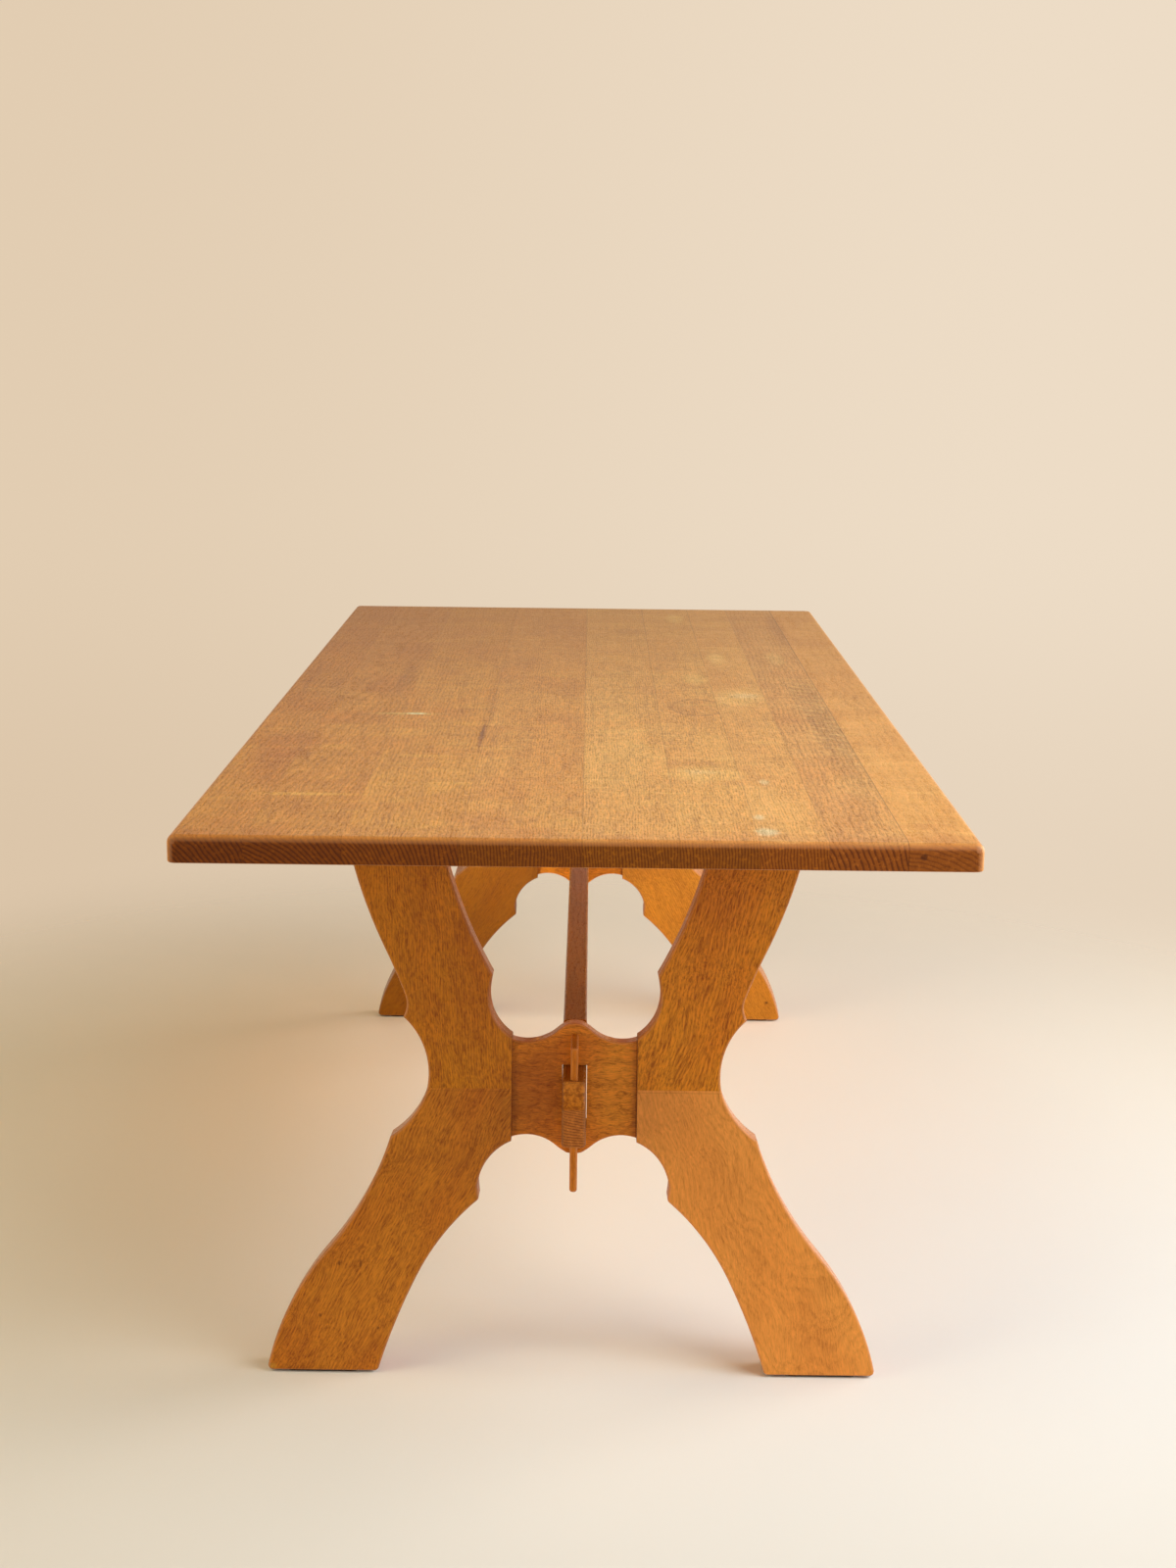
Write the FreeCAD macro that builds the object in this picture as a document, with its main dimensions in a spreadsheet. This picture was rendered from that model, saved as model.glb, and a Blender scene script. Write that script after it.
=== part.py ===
"""Oak trestle dining table, held together by a stretcher rail with two tusk wedges.

The frame is the floor under the middle of the table: X runs across the top, Y along it, Z up.
Two X-shaped trestles, called front (towards -Y) and rear, stand near the ends. They lean inwards
as they rise, so their feet are wider apart than their heads. Each trestle is glued up from two
legs, two arms and a centre block, and carries a bearer under the top. The rail runs between the
trestles. Its tenons pass through the centre blocks, and a wedge driven down through each tenon
pulls the joint tight.
"""
import FreeCAD, Part
import math
import os
import Sketcher

Vector = FreeCAD.Vector
Rotation = FreeCAD.Rotation
Placement = FreeCAD.Placement

# Driving dimensions, in millimetres, and one angle in degrees. The outlines of a trestle's pieces
# are given on its right-hand side, as x from the middle and as a distance up the trestle's own
# slope, which starts at the floor. A name that ends in height is a height above the floor.
SIZES = {
    # the top
    "top_length": 1900, "top_width": 866, "table_height": 730, "top_thickness": 30,
    "top_corner_radius": 10, "top_arris_radius": 9, "top_lower_radius": 1.5,
    "seam_a": -352, "seam_b": -247, "seam_c": -124, "seam_d": 7,
    "seam_e": 110, "seam_f": 195, "seam_g": 268, "seam_half": 352,
    # the trestles: place is where the middle of their thickness meets the floor
    "trestle_place": 698.2, "trestle_rake": 8.8, "leg_thickness": 42, "leg_arris": 3,
    "waist": 351, "waist_x": 179.2,
    # a leg, from below its foot to the waist
    "leg_start": -8, "foot_inside": 239.5, "foot_outside": 374.3, "foot_ease": 6,
    "calf_inside_x": 189.5, "calf_inside_up": 120, "foot_inside_bow": -3.1, "nib_x": 115.2, "nib_up": 214.3, "nib_ease": 5,
    "leg_scallop_x": 117.1, "leg_scallop_up": 231.2, "leg_scallop_bow": -9.4, "leg_block_up": 286,
    "leg_tip_x": 223.7, "leg_tip_up": 290.3, "leg_waist_bow": -6.8,
    "calf_outside_x": 302, "calf_outside_up": 147.7,
    "thigh_outside_bow": -8.3,
    # an arm, from the waist to above the bearer's underside
    "arm_block_up": 414.5, "arm_scallop_x": 103.7, "arm_scallop_up": 473, "arm_scallop_bow": -9.2,
    "arm_nib_x": 100.7, "arm_nib_up": 491, "arm_inside_bow": -9.6, "arm_end": 690,
    "arm_end_inside": 171.5, "arm_end_outside": 286, "arm_outside_bow": 6.5,
    "arm_bend_x": 231.3, "arm_bend_up": 520,
    "arm_throat_x": 206.9, "arm_throat_up": 464.2,
    "arm_tip_x": 209.1, "arm_tip_up": 437.5, "arm_waist_bow": -12,
    # the centre block; its outline rises by these amounts above and below the waist
    "block_half_width": 76.5, "block_thickness": 32, "block_arris": 2, "block_arc_x": 58,
    "block_arc_rise": 112.8, "block_arc_radius": 55.7, "block_slope_x": 22,
    "block_peak_x": 9, "block_peak_rise": 79, "block_peak_bow": 1,
    # the bearer under the top
    "bearer_length": 740, "bearer_width": 64, "bearer_thickness": 36, "bearer_end_radius": 20,
    "bearer_arris": 2.5,
    # the stretcher rail and its tenons
    "rail_half_length": 739.7, "rail_thickness": 29, "rail_low_height": 265,
    "rail_high_height": 423.5, "rail_arris": 3.5, "tenon_low_height": 303.2,
    "tenon_high_height": 377.5, "tenon_arris": 5, "tenon_cove_run": 26,
    "cove_low_height": 351.4, "tenon_cove_bow": 3.2, "tenon_end_ease": 2.5, "mortise_gap": 0.7,
    # the wedges
    "wedge_thickness": 9.2, "wedge_low_height": 238, "wedge_high_height": 416.8,
    "wedge_gap": 0.3, "wedge_depth_high": 56.5, "wedge_depth_low": 41, "wedge_arris": 1.2,
    "wedge_top_ease": 3, "wedge_end_ease": 4, "slot_draw": 2, "slot_side_gap": 0.3,
    # felt pads under the feet
    "pad_thickness": 2.6, "pad_length": 88, "pad_width": 34, "pad_corner": 3, "pad_x": 305,
    # dowels and screws
    "waist_dowel_radius": 6, "waist_dowel_length": 60, "waist_dowel_inner": 112,
    "waist_dowel_outer": 150, "head_dowel_inner": 196, "head_dowel_outer": 252,
    "block_dowel_radius": 5, "block_dowel_length": 50, "block_dowel_near": 17,
    "block_dowel_far": 39, "dowel_ease": 1, "dowel_well": 1,
    "screw_radius": 2.5, "screw_length": 46, "screw_point": 6, "screw_head_radius": 4.8,
    "screw_head_height": 3.2, "screw_slot_width": 1.2, "screw_slot_depth": 1.4,
    "screw_inner_x": 75, "screw_outer_x": 310, "washer_radius": 7, "washer_thickness": 1.5,
    "washer_play": 0.2, "counterbore_radius": 8, "counterbore_depth": 9, "clearance_radius": 3,
    "slot_travel": 8,
}

# Dimensions that follow from the ones above. The bearer's place is where the leaning trestle
# reaches its underside, and the pilot holes take the rest of each screw's length.
DERIVED = {
    "top_underside": "=table_height - top_thickness",
    "head_height": "=top_underside - bearer_thickness",
    "bearer_place": "=trestle_place - head_height * tan(trestle_rake)",
    "block_half_depth": "=block_thickness / 2 / cos(trestle_rake)",
    "pilot_depth": "=screw_length - (bearer_thickness - counterbore_depth + washer_thickness)",
}

SEAMS = ["seam_a", "seam_b", "seam_c", "seam_d", "seam_e", "seam_f", "seam_g", "seam_half"]
ENDS = {"front": -1, "rear": 1}
SIDES = {"left": -1, "right": 1}
TOUCH = 1e-4          # two lengths nearer than this are the same
PAST = 2              # how far a cut runs out past the faces it opens
FIRST_HALF = 50       # half the size a rectangle is drawn at before its constraints size it
SMOOTH = "smooth"     # in place of a bow, for an edge that carries on from the one before it

doc = FreeCAD.newDocument("trestle_table")
sheet = doc.addObject("Spreadsheet::Sheet", "Sizes")
for row, (alias, value) in enumerate({**SIZES, **DERIVED}.items(), start=1):
    sheet.set(f"A{row}", alias)
    sheet.set(f"B{row}", str(value))
    sheet.setAlias(f"B{row}", alias)
doc.recompute()

pieces = []


def size(alias):
    """One dimension, read back from the sheet."""
    return float(sheet.get(alias))


def bind(thing, expressions):
    """Ties properties of an object to cells of the sheet."""
    for name, expression in expressions.items():
        thing.setExpression(name, expression)


def same(first, second):
    """Whether two lengths are the same."""
    return abs(first - second) < TOUCH


def quarter_bow(radius):
    """How far the middle of a quarter circle stands off its chord."""
    return radius * (1 - math.sqrt(0.5))


# ---------------------------------------------------------------- the trestles' slope

def lean(height):
    """How far inwards the trestles have leaned at a height above the floor."""
    return height * math.tan(math.radians(size("trestle_rake")))


def slope(end):
    """The direction that runs up a trestle's own slope."""
    rake = math.radians(size("trestle_rake"))
    return Vector(0, -end * math.sin(rake), math.cos(rake))


def on_trestle(end, x, up):
    """The point in the middle of a trestle's thickness at x, a distance up its slope."""
    return Vector(x, end * size("trestle_place"), 0) + slope(end) * up


def block_outer(height):
    """How far the outer face of a centre block stands from the middle of the table."""
    return size("trestle_place") - lean(height) + size("block_half_depth")


def block_inner(height):
    """How far the inner face of a centre block stands from the middle of the table."""
    return size("trestle_place") - lean(height) - size("block_half_depth")


# ---------------------------------------------------------------- bodies and sketches

def new_body(label):
    """An empty body that will become one piece of the table."""
    body = doc.addObject("PartDesign::Body", label)
    body.Label = label
    pieces.append(body)
    return body


def leaning_body(label, end):
    """An empty body set up in a trestle's slope: its own z runs up the slope from the floor."""
    body = new_body(label)
    body.Placement = Placement(Vector(0, 0, 0), Rotation(Vector(end, 0, 0), size("trestle_rake")))
    bind(body, {"Placement.Base.y": f"{end} * Sizes.trestle_place"})
    doc.recompute()
    return body


def sketch_on(body, role, name):
    """A sketch lying on one of the body's own origin planes."""
    plane = next(f for f in body.Origin.OriginFeatures if f.Role == role)
    sketch = body.newObject("Sketcher::SketchObject", name)
    sketch.AttachmentSupport = [(plane, "")]
    sketch.MapMode = "FlatFace"
    return sketch


def join_ends(sketch, first, second):
    """Ties the end of one edge of a sketch to the start of the next, whichever way round they are."""
    for first_end in (1, 2):
        for second_end in (1, 2):
            gap = sketch.getPoint(first, first_end) - sketch.getPoint(second, second_end)
            if gap.Length < TOUCH:
                sketch.addConstraint(
                    Sketcher.Constraint("Coincident", first, first_end, second, second_end))
                return


def set_bows(corners):
    """Works out each bow that is given as SMOOTH. An arc leaves its chord at twice the angle whose
    tangent is twice the bow over the chord, and meets it again at the same angle. So the bow of
    a smooth edge follows from the direction in which the edge before it arrives."""
    done = []
    arrives = 0
    for index, (x, z, bow) in enumerate(corners):
        next_x, next_z = corners[(index + 1) % len(corners)][:2]
        chord = math.hypot(next_x - x, next_z - z)
        heading = math.atan2(next_z - z, next_x - x)
        if bow == SMOOTH:
            bow = chord / 2 * math.tan((arrives - heading) / 2)
        arrives = heading - 2 * math.atan(2 * bow / chord)
        done.append((x, z, bow))
    return done


def draw_outline(sketch, corners, side=1):
    """A closed outline. Each corner is (x, z, bow): bow is how far the middle of the edge that
    leaves the corner stands to the left of its chord, and 0 gives a straight edge. The outline
    is worked out on the right-hand side, and side = -1 mirrors it to the left."""
    corners = set_bows(corners)
    count = len(corners)
    for index, (x, z, bow) in enumerate(corners):
        next_x, next_z = corners[(index + 1) % count][:2]
        start = Vector(side * x, z, 0)
        end = Vector(side * next_x, next_z, 0)
        if bow == 0:
            sketch.addGeometry(Part.LineSegment(start, end), False)
            continue
        length = math.hypot(next_x - x, next_z - z)
        middle_x = (x + next_x) / 2 - bow * (next_z - z) / length
        middle_z = (z + next_z) / 2 + bow * (next_x - x) / length
        middle = Vector(side * middle_x, middle_z, 0)
        sketch.addGeometry(Part.Arc(start, middle, end), False)
    for index in range(count):
        join_ends(sketch, index, (index + 1) % count)


def draw_rectangle(sketch, across, along):
    """A rectangle centred on the sketch's origin, its two sizes bound to the sheet."""
    half = FIRST_HALF
    corners = [Vector(-half, -half, 0), Vector(half, -half, 0),
               Vector(half, half, 0), Vector(-half, half, 0)]
    for index in range(4):
        sketch.addGeometry(Part.LineSegment(corners[index], corners[(index + 1) % 4]), False)
    for index in range(4):
        sketch.addConstraint(Sketcher.Constraint("Coincident", index, 2, (index + 1) % 4, 1))
    for index in (0, 2):
        sketch.addConstraint(Sketcher.Constraint("Horizontal", index))
    for index in (1, 3):
        sketch.addConstraint(Sketcher.Constraint("Vertical", index))
    sketch.addConstraint(Sketcher.Constraint("Symmetric", 0, 1, 1, 2, -1, 1))
    sketch.addConstraint(Sketcher.Constraint("DistanceX", 0, 1, 0, 2, 2 * half))
    sketch.renameConstraint(sketch.ConstraintCount - 1, "across")
    sketch.addConstraint(Sketcher.Constraint("DistanceY", 1, 1, 1, 2, 2 * half))
    sketch.renameConstraint(sketch.ConstraintCount - 1, "along")
    bind(sketch, {"Constraints.across": across, "Constraints.along": along})


def pad(body, sketch, length, symmetric=True):
    """Thickens a sketch into the body's first solid."""
    feature = body.newObject("PartDesign::Pad", "Pad")
    feature.Profile = sketch
    feature.SideType = "Symmetric" if symmetric else "One side"
    feature.setExpression("Length", length)
    doc.recompute()
    return feature


def must_have_cut(body, feature, before):
    """Stops if a cut took nothing away from the body."""
    if feature.Shape.Volume > before - 1:
        raise RuntimeError(f"{feature.Label} cut nothing off {body.Label}")


def pocket(body, sketch, length, symmetric=False, reverse=False):
    """Cuts a sketch out of the body."""
    before = body.Shape.Volume
    feature = body.newObject("PartDesign::Pocket", "Pocket")
    feature.Profile = sketch
    feature.SideType = "Symmetric" if symmetric else "One side"
    feature.Reversed = reverse
    feature.setExpression("Length", length)
    doc.recompute()
    must_have_cut(body, feature, before)


def saw_out(body, low, high):
    """Takes away all of the body inside an upright box, given by two corners in the table's
    own frame, however the body leans."""
    before = body.Shape.Volume
    box = body.newObject("PartDesign::SubtractiveBox", "Saw")
    box.Length = high.x - low.x
    box.Width = high.y - low.y
    box.Height = high.z - low.z
    box.Placement = body.Placement.inverse() * Placement(low, Rotation())
    doc.recompute()
    must_have_cut(body, box, before)


def bore(body, radius, depth, start, direction):
    """A round hole that begins at start and runs along direction, both in the table's frame."""
    before = body.Shape.Volume
    hole = body.newObject("PartDesign::SubtractiveCylinder", "Bore")
    bind(hole, {"Radius": radius, "Height": depth})
    along_z = Placement(start, Rotation(Vector(0, 0, 1), direction))
    hole.Placement = body.Placement.inverse() * along_z
    doc.recompute()
    must_have_cut(body, hole, before)


def round_edges(body, radius, wanted):
    """Rounds the edges of the body's last solid for which wanted(edge) is true."""
    base = body.Tip
    names = [f"Edge{i}" for i, edge in enumerate(base.Shape.Edges, start=1) if wanted(edge)]
    if not names:
        raise RuntimeError(f"no edge of {body.Label} to round by {radius}")
    fillet = body.newObject("PartDesign::Fillet", "Fillet")
    fillet.Base = (base, names)
    fillet.setExpression("Radius", radius)
    doc.recompute()
    if not fillet.Shape.isValid() or fillet.Shape.Volume > base.Shape.Volume:
        raise RuntimeError(f"{fillet.Label} spoilt {body.Label}")


def edge_lies(edge, axis, value):
    """Whether the whole edge lies where the given coordinate of its body has that value."""
    low = getattr(edge.BoundBox, axis + "Min")
    high = getattr(edge.BoundBox, axis + "Max")
    return same(low, value) and same(high, value)


def on_faces(edge, axis, half):
    """Whether the edge lies on one of the two faces that stand half either side of the middle."""
    return edge_lies(edge, axis, half) or edge_lies(edge, axis, -half)


def edge_at_height(body, edge, height):
    """Whether both ends of an edge of a leaning body are at one height above the floor."""
    return all(same(body.Placement.multVec(vertex.Point).z, height) for vertex in edge.Vertexes)


def corner_edge(edge, x, z):
    """Whether the edge runs through the thickness of the wood at the corner (x, z)."""
    return edge_lies(edge, "X", x) and edge_lies(edge, "Z", z)


# ---------------------------------------------------------------- places of dowels and screws

def screw_places():
    """Where the screws of one bearer stand along X."""
    return [side * size(x) for side in (-1, 1) for x in ("screw_outer_x", "screw_inner_x")]


def waist_dowel_places(side, end):
    """The middle and the direction of each dowel between a leg and its arm."""
    return [(on_trestle(end, side * size(x), size("waist")), slope(end))
            for x in ("waist_dowel_inner", "waist_dowel_outer")]


def head_dowel_places(side, end):
    """The middle and the direction of each dowel between an arm and the bearer."""
    return [(Vector(side * size(x), end * size("bearer_place"), size("head_height")),
             Vector(0, 0, 1)) for x in ("head_dowel_inner", "head_dowel_outer")]


def block_dowel_places(side, end, ways=(-1, 1)):
    """The middle and the direction of each dowel at one side of the centre block. ways picks
    the ones below the waist (-1), above it (1) or both."""
    return [(on_trestle(end, side * size("block_half_width"), size("waist") + way * size(offset)),
             Vector(side, 0, 0))
            for way in ways for offset in ("block_dowel_near", "block_dowel_far")]


def bore_for_dowels(body, kind, places, way):
    """Half of each dowel's hole, with a little well for glue past the dowel's end. way = 1 runs
    along the dowels' direction and -1 against it."""
    for middle, direction in places:
        bore(body, f"Sizes.{kind}_dowel_radius",
             f"Sizes.{kind}_dowel_length / 2 + Sizes.dowel_well", middle, direction * way)


# ---------------------------------------------------------------- the top

def top_board(number, left, right):
    """One of the oak boards that are glued edge to edge into the top. Its ends are rounded over,
    and so is the long outer edge of the first and last board. left and right are the sheet's
    names for its two edges."""
    body = new_body(f"top_board_{number}")
    sketch = sketch_on(body, "XY_Plane", "Face")
    draw_rectangle(sketch, f"{right} - {left}", "Sizes.top_length")
    bind(body, {
        "Placement.Base.x": f"({left} + {right}) / 2",
        "Placement.Base.z": "Sizes.top_underside",
    })
    pad(body, sketch, "Sizes.top_thickness", symmetric=False)
    half_width = body.Shape.BoundBox.XLength / 2
    thickness = size("top_thickness")
    outer = {1: -half_width, len(SEAMS) + 1: half_width}.get(number)
    if outer is not None:
        round_edges(body, "Sizes.top_corner_radius",
                    lambda e: edge_lies(e, "X", outer) and not edge_lies(e, "Z", 0)
                    and not edge_lies(e, "Z", thickness))
    glued = [x for x in (-half_width, half_width) if x != outer]
    for height, radius in ((thickness, "Sizes.top_arris_radius"), (0, "Sizes.top_lower_radius")):
        round_edges(body, radius,
                    lambda e: edge_lies(e, "Z", height)
                    and not any(edge_lies(e, "X", x) for x in glued))
    middle = body.Placement.Base.x
    for x in screw_places():
        if abs(x - middle) < half_width:
            for end in ENDS.values():
                start = Vector(x, end * size("bearer_place"), size("top_underside"))
                bore(body, "Sizes.screw_radius", "Sizes.pilot_depth", start, Vector(0, 0, 1))


def make_top():
    """The nine boards, from the left edge to the right."""
    edges = ["-Sizes.top_width / 2"]
    edges += [f"Sizes.{seam}" for seam in SEAMS]
    edges += ["Sizes.top_width / 2"]
    for number in range(1, len(edges)):
        top_board(number, f"({edges[number - 1]})", f"({edges[number]})")


# ---------------------------------------------------------------- legs and arms

def leg_corners():
    """The outline of a leg, up its inner side, across the waist and down its outer side. It
    starts a little below the floor, where the foot is sawn level afterwards."""
    start = size("leg_start")
    waist = size("waist")
    return [
        (size("foot_inside"), start, size("foot_inside_bow")),
        (size("calf_inside_x"), size("calf_inside_up"), SMOOTH),
        (size("nib_x"), size("nib_up"), 0),
        (size("leg_scallop_x"), size("leg_scallop_up"), size("leg_scallop_bow")),
        (size("block_half_width"), size("leg_block_up"), 0),
        (size("block_half_width"), waist, 0),
        (size("waist_x"), waist, size("leg_waist_bow")),
        (size("leg_tip_x"), size("leg_tip_up"), size("thigh_outside_bow")),
        (size("calf_outside_x"), size("calf_outside_up"), SMOOTH),
        (size("foot_outside"), start, 0),
    ]


def arm_corners():
    """The outline of an arm, up its inner side, across its end and down its outer side. It ends
    a little above the bearer's underside, where the head is sawn level afterwards."""
    waist = size("waist")
    end = size("arm_end")
    return [
        (size("block_half_width"), waist, 0),
        (size("block_half_width"), size("arm_block_up"), size("arm_scallop_bow")),
        (size("arm_scallop_x"), size("arm_scallop_up"), SMOOTH),
        (size("arm_nib_x"), size("arm_nib_up"), size("arm_inside_bow")),
        (size("arm_end_inside"), end, 0),
        (size("arm_end_outside"), end, size("arm_outside_bow")),
        (size("arm_bend_x"), size("arm_bend_up"), SMOOTH),
        (size("arm_throat_x"), size("arm_throat_up"), SMOOTH),
        (size("arm_tip_x"), size("arm_tip_up"), size("arm_waist_bow")),
        (size("waist_x"), waist, 0),
    ]


def level_slab(low, high):
    """Two corners of a slab as wide and as long as the table, between two heights."""
    half_width = size("top_width") / 2
    half_length = size("top_length") / 2
    return Vector(-half_width, -half_length, low), Vector(half_width, half_length, high)


def round_arrises(body, side, is_glued):
    """Rounds both arrises of a leg or an arm, except along its glued joints."""
    face = size("leg_thickness") / 2
    joint = side * size("block_half_width")
    round_edges(body, "Sizes.leg_arris",
                lambda e: on_faces(e, "Y", face) and not edge_lies(e, "X", joint)
                and not edge_lies(e, "Z", size("waist")) and not is_glued(e))


def make_leg(name, side, end):
    """A leg: sawn to its outline from thick board, its foot sawn level, its corners eased."""
    body = leaning_body(f"{name}_leg", end)
    sketch = sketch_on(body, "XZ_Plane", "Outline")
    draw_outline(sketch, leg_corners(), side)
    pad(body, sketch, "Sizes.leg_thickness")
    floor = size("pad_thickness")
    saw_out(body, *level_slab(-size("leg_thickness"), floor))
    face = size("leg_thickness") / 2
    round_edges(body, "Sizes.foot_ease",
                lambda e: edge_at_height(body, e, floor) and not on_faces(e, "Y", face))
    round_edges(body, "Sizes.nib_ease",
                lambda e: corner_edge(e, side * size("nib_x"), size("nib_up")))
    round_arrises(body, side, lambda e: False)
    bore_for_dowels(body, "waist", waist_dowel_places(side, end), -1)
    bore_for_dowels(body, "block", block_dowel_places(side, end, (-1,)), 1)


def make_arm(name, side, end):
    """An arm: sawn to its outline, with its head sawn level under the bearer."""
    body = leaning_body(f"{name}_arm", end)
    sketch = sketch_on(body, "XZ_Plane", "Outline")
    draw_outline(sketch, arm_corners(), side)
    pad(body, sketch, "Sizes.leg_thickness")
    round_arrises(body, side, lambda e: edge_lies(e, "Z", size("arm_end")))
    saw_out(body, *level_slab(size("head_height"), size("table_height")))
    bore_for_dowels(body, "waist", waist_dowel_places(side, end), 1)
    bore_for_dowels(body, "waist", head_dowel_places(side, end), -1)
    bore_for_dowels(body, "block", block_dowel_places(side, end, (1,)), 1)


# ---------------------------------------------------------------- centre block

def block_corners():
    """The block's outline, anticlockwise from its upper right corner. Each quarter is a hollow
    arc that turns smoothly into a slope, and the two slopes meet in a blunt peak."""
    half = size("block_half_width")
    radius = size("block_arc_radius")

    def rise(x):
        return size("block_arc_rise") - math.sqrt(radius ** 2 - (x - size("block_arc_x")) ** 2)

    inner = size("block_slope_x")
    peak = size("block_peak_x")
    chord = math.hypot(half - inner, rise(half) - rise(inner))
    arc_bow = radius - math.sqrt(radius ** 2 - chord ** 2 / 4)
    right = [(half, rise(half), arc_bow), (inner, rise(inner), SMOOTH)]
    top = (peak, size("block_peak_rise"), -size("block_peak_bow"))
    slope_bow = set_bows(right + [top])[1][2]
    upper = right + [
        top,
        (-peak, size("block_peak_rise"), slope_bow),
        (-inner, rise(inner), arc_bow),
        (-half, rise(half), 0),
    ]
    lower = [(-x, -z, edge_bow) for x, z, edge_bow in upper]
    return [(x, size("waist") + z, edge_bow) for x, z, edge_bow in upper + lower]


def make_block(end_name, end):
    """The block between the legs, with the mortise that the rail's tenon passes through. The
    mortise is level, so it runs through the leaning block at a slant."""
    body = leaning_body(f"{end_name}_centre_block", end)
    sketch = sketch_on(body, "XZ_Plane", "Outline")
    draw_outline(sketch, block_corners())
    pad(body, sketch, "Sizes.block_thickness")
    face = size("block_thickness") / 2
    half = size("block_half_width")
    round_edges(body, "Sizes.block_arris",
                lambda e: on_faces(e, "Y", face) and not on_faces(e, "X", half))
    gap = size("mortise_gap")
    across = size("rail_thickness") / 2 + gap
    near = block_inner(size("tenon_high_height")) - size("block_thickness")
    far = block_outer(size("tenon_low_height")) + size("block_thickness")
    first, last = sorted((end * near, end * far))
    saw_out(body, Vector(-across, first, size("tenon_low_height") - gap),
            Vector(across, last, size("tenon_high_height") + gap))
    for side in SIDES.values():
        bore_for_dowels(body, "block", block_dowel_places(side, end), -1)


# ---------------------------------------------------------------- bearer

def make_bearer(end_name, end):
    """The cross bearer that the top lies on, with slotted and counterbored screw holes so that
    the top can swell and shrink across its boards. Its own z = 0 is its underside."""
    body = new_body(f"{end_name}_bearer")
    sketch = sketch_on(body, "XZ_Plane", "Outline")
    half = size("bearer_length") / 2
    height = size("bearer_thickness")
    draw_outline(sketch, [(-half, 0, 0), (half, 0, 0), (half, height, 0), (-half, height, 0)])
    bind(body, {
        "Placement.Base.y": f"{end} * Sizes.bearer_place",
        "Placement.Base.z": "Sizes.head_height",
    })
    pad(body, sketch, "Sizes.bearer_width")
    round_edges(body, "Sizes.bearer_end_radius",
                lambda e: corner_edge(e, half, 0) or corner_edge(e, -half, 0))
    face = size("bearer_width") / 2
    round_edges(body, "Sizes.bearer_arris",
                lambda e: on_faces(e, "Y", face) and not edge_lies(e, "Z", height))
    travel = size("slot_travel") / 2
    for x in screw_places():
        for radius, depth in (("counterbore_radius", "Sizes.counterbore_depth"),
                              ("clearance_radius", f"Sizes.bearer_thickness + {PAST}")):
            slot = sketch_on(body, "XY_Plane", "Slot")
            r = size(radius)
            draw_outline(slot, [(x - travel, -r, 0), (x + travel, -r, -r), (x + travel, r, 0),
                                (x - travel, r, -r)])
            pocket(body, slot, depth, reverse=True)
    for side in SIDES.values():
        bore_for_dowels(body, "waist", head_dowel_places(side, end), 1)


# ---------------------------------------------------------------- rail and wedges

def wedge_depth(height):
    """How far a wedge's sloping front face stands out from its back face at a height."""
    low = size("wedge_low_height")
    share = (height - low) / (size("wedge_high_height") - low)
    return size("wedge_depth_low") + share * (size("wedge_depth_high") - size("wedge_depth_low"))


def rail_corners():
    """The rail seen from the side, as y and z: a deep board with a tenon at each end. Its
    shoulders lean with the blocks, and the top of each tenon's end is hollowed in a cove."""
    low = size("rail_low_height")
    high = size("rail_high_height")
    tenon_low = size("tenon_low_height")
    tenon_high = size("tenon_high_height")
    reach = size("rail_half_length")
    ease = size("tenon_end_ease")
    rear = [
        (block_inner(low), low, 0),
        (block_inner(tenon_low), tenon_low, 0),
        (reach - ease, tenon_low, -quarter_bow(ease)),
        (reach, tenon_low + ease, 0),
        (reach, size("cove_low_height"), size("tenon_cove_bow")),
        (reach - size("tenon_cove_run"), tenon_high, 0),
        (block_inner(tenon_high), tenon_high, 0),
        (block_inner(high), high, 0),
    ]
    # the front half is the same walk mirrored and turned round, so that each corner takes the
    # bow of the edge that used to arrive at it
    front = [(-y, z, rear[index - 1][2]) for index, (y, z, _) in enumerate(rear)]
    return rear + front[::-1]


def make_rail():
    """The stretcher rail, with a tapered slot through each tenon for the wedge. Each slot runs
    a little way back inside the block's face, so that the wedge bears on the block."""
    body = new_body("stretcher_rail")
    sketch = sketch_on(body, "YZ_Plane", "Outline")
    draw_outline(sketch, rail_corners())
    pad(body, sketch, "Sizes.rail_thickness")
    face = size("rail_thickness") / 2
    shoulder = block_inner(size("tenon_low_height"))

    def on_tenon(edge):
        return max(abs(edge.BoundBox.YMin), abs(edge.BoundBox.YMax)) > shoulder + TOUCH

    def along_rail(edge):
        return any(edge_lies(edge, "Z", size(z)) for z in ("rail_low_height", "rail_high_height"))

    round_edges(body, "Sizes.rail_arris", lambda e: on_faces(e, "X", face) and along_rail(e))
    round_edges(body, "Sizes.tenon_arris",
                lambda e: on_faces(e, "X", face) and on_tenon(e) and not along_rail(e))
    low = size("tenon_low_height") - PAST
    high = size("tenon_high_height") + PAST
    play = 2 * size("wedge_gap")
    for end in ENDS.values():
        slot = sketch_on(body, "YZ_Plane", "Slot")
        draw_outline(slot, [
            (end * (block_outer(low) - size("slot_draw")), low, 0),
            (end * (block_outer(low) + wedge_depth(low) + play), low, 0),
            (end * (block_outer(high) + wedge_depth(high) + play), high, 0),
            (end * (block_outer(high) - size("slot_draw")), high, 0),
        ])
        pocket(body, slot, "Sizes.wedge_thickness + 2 * Sizes.slot_side_gap", symmetric=True)


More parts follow.
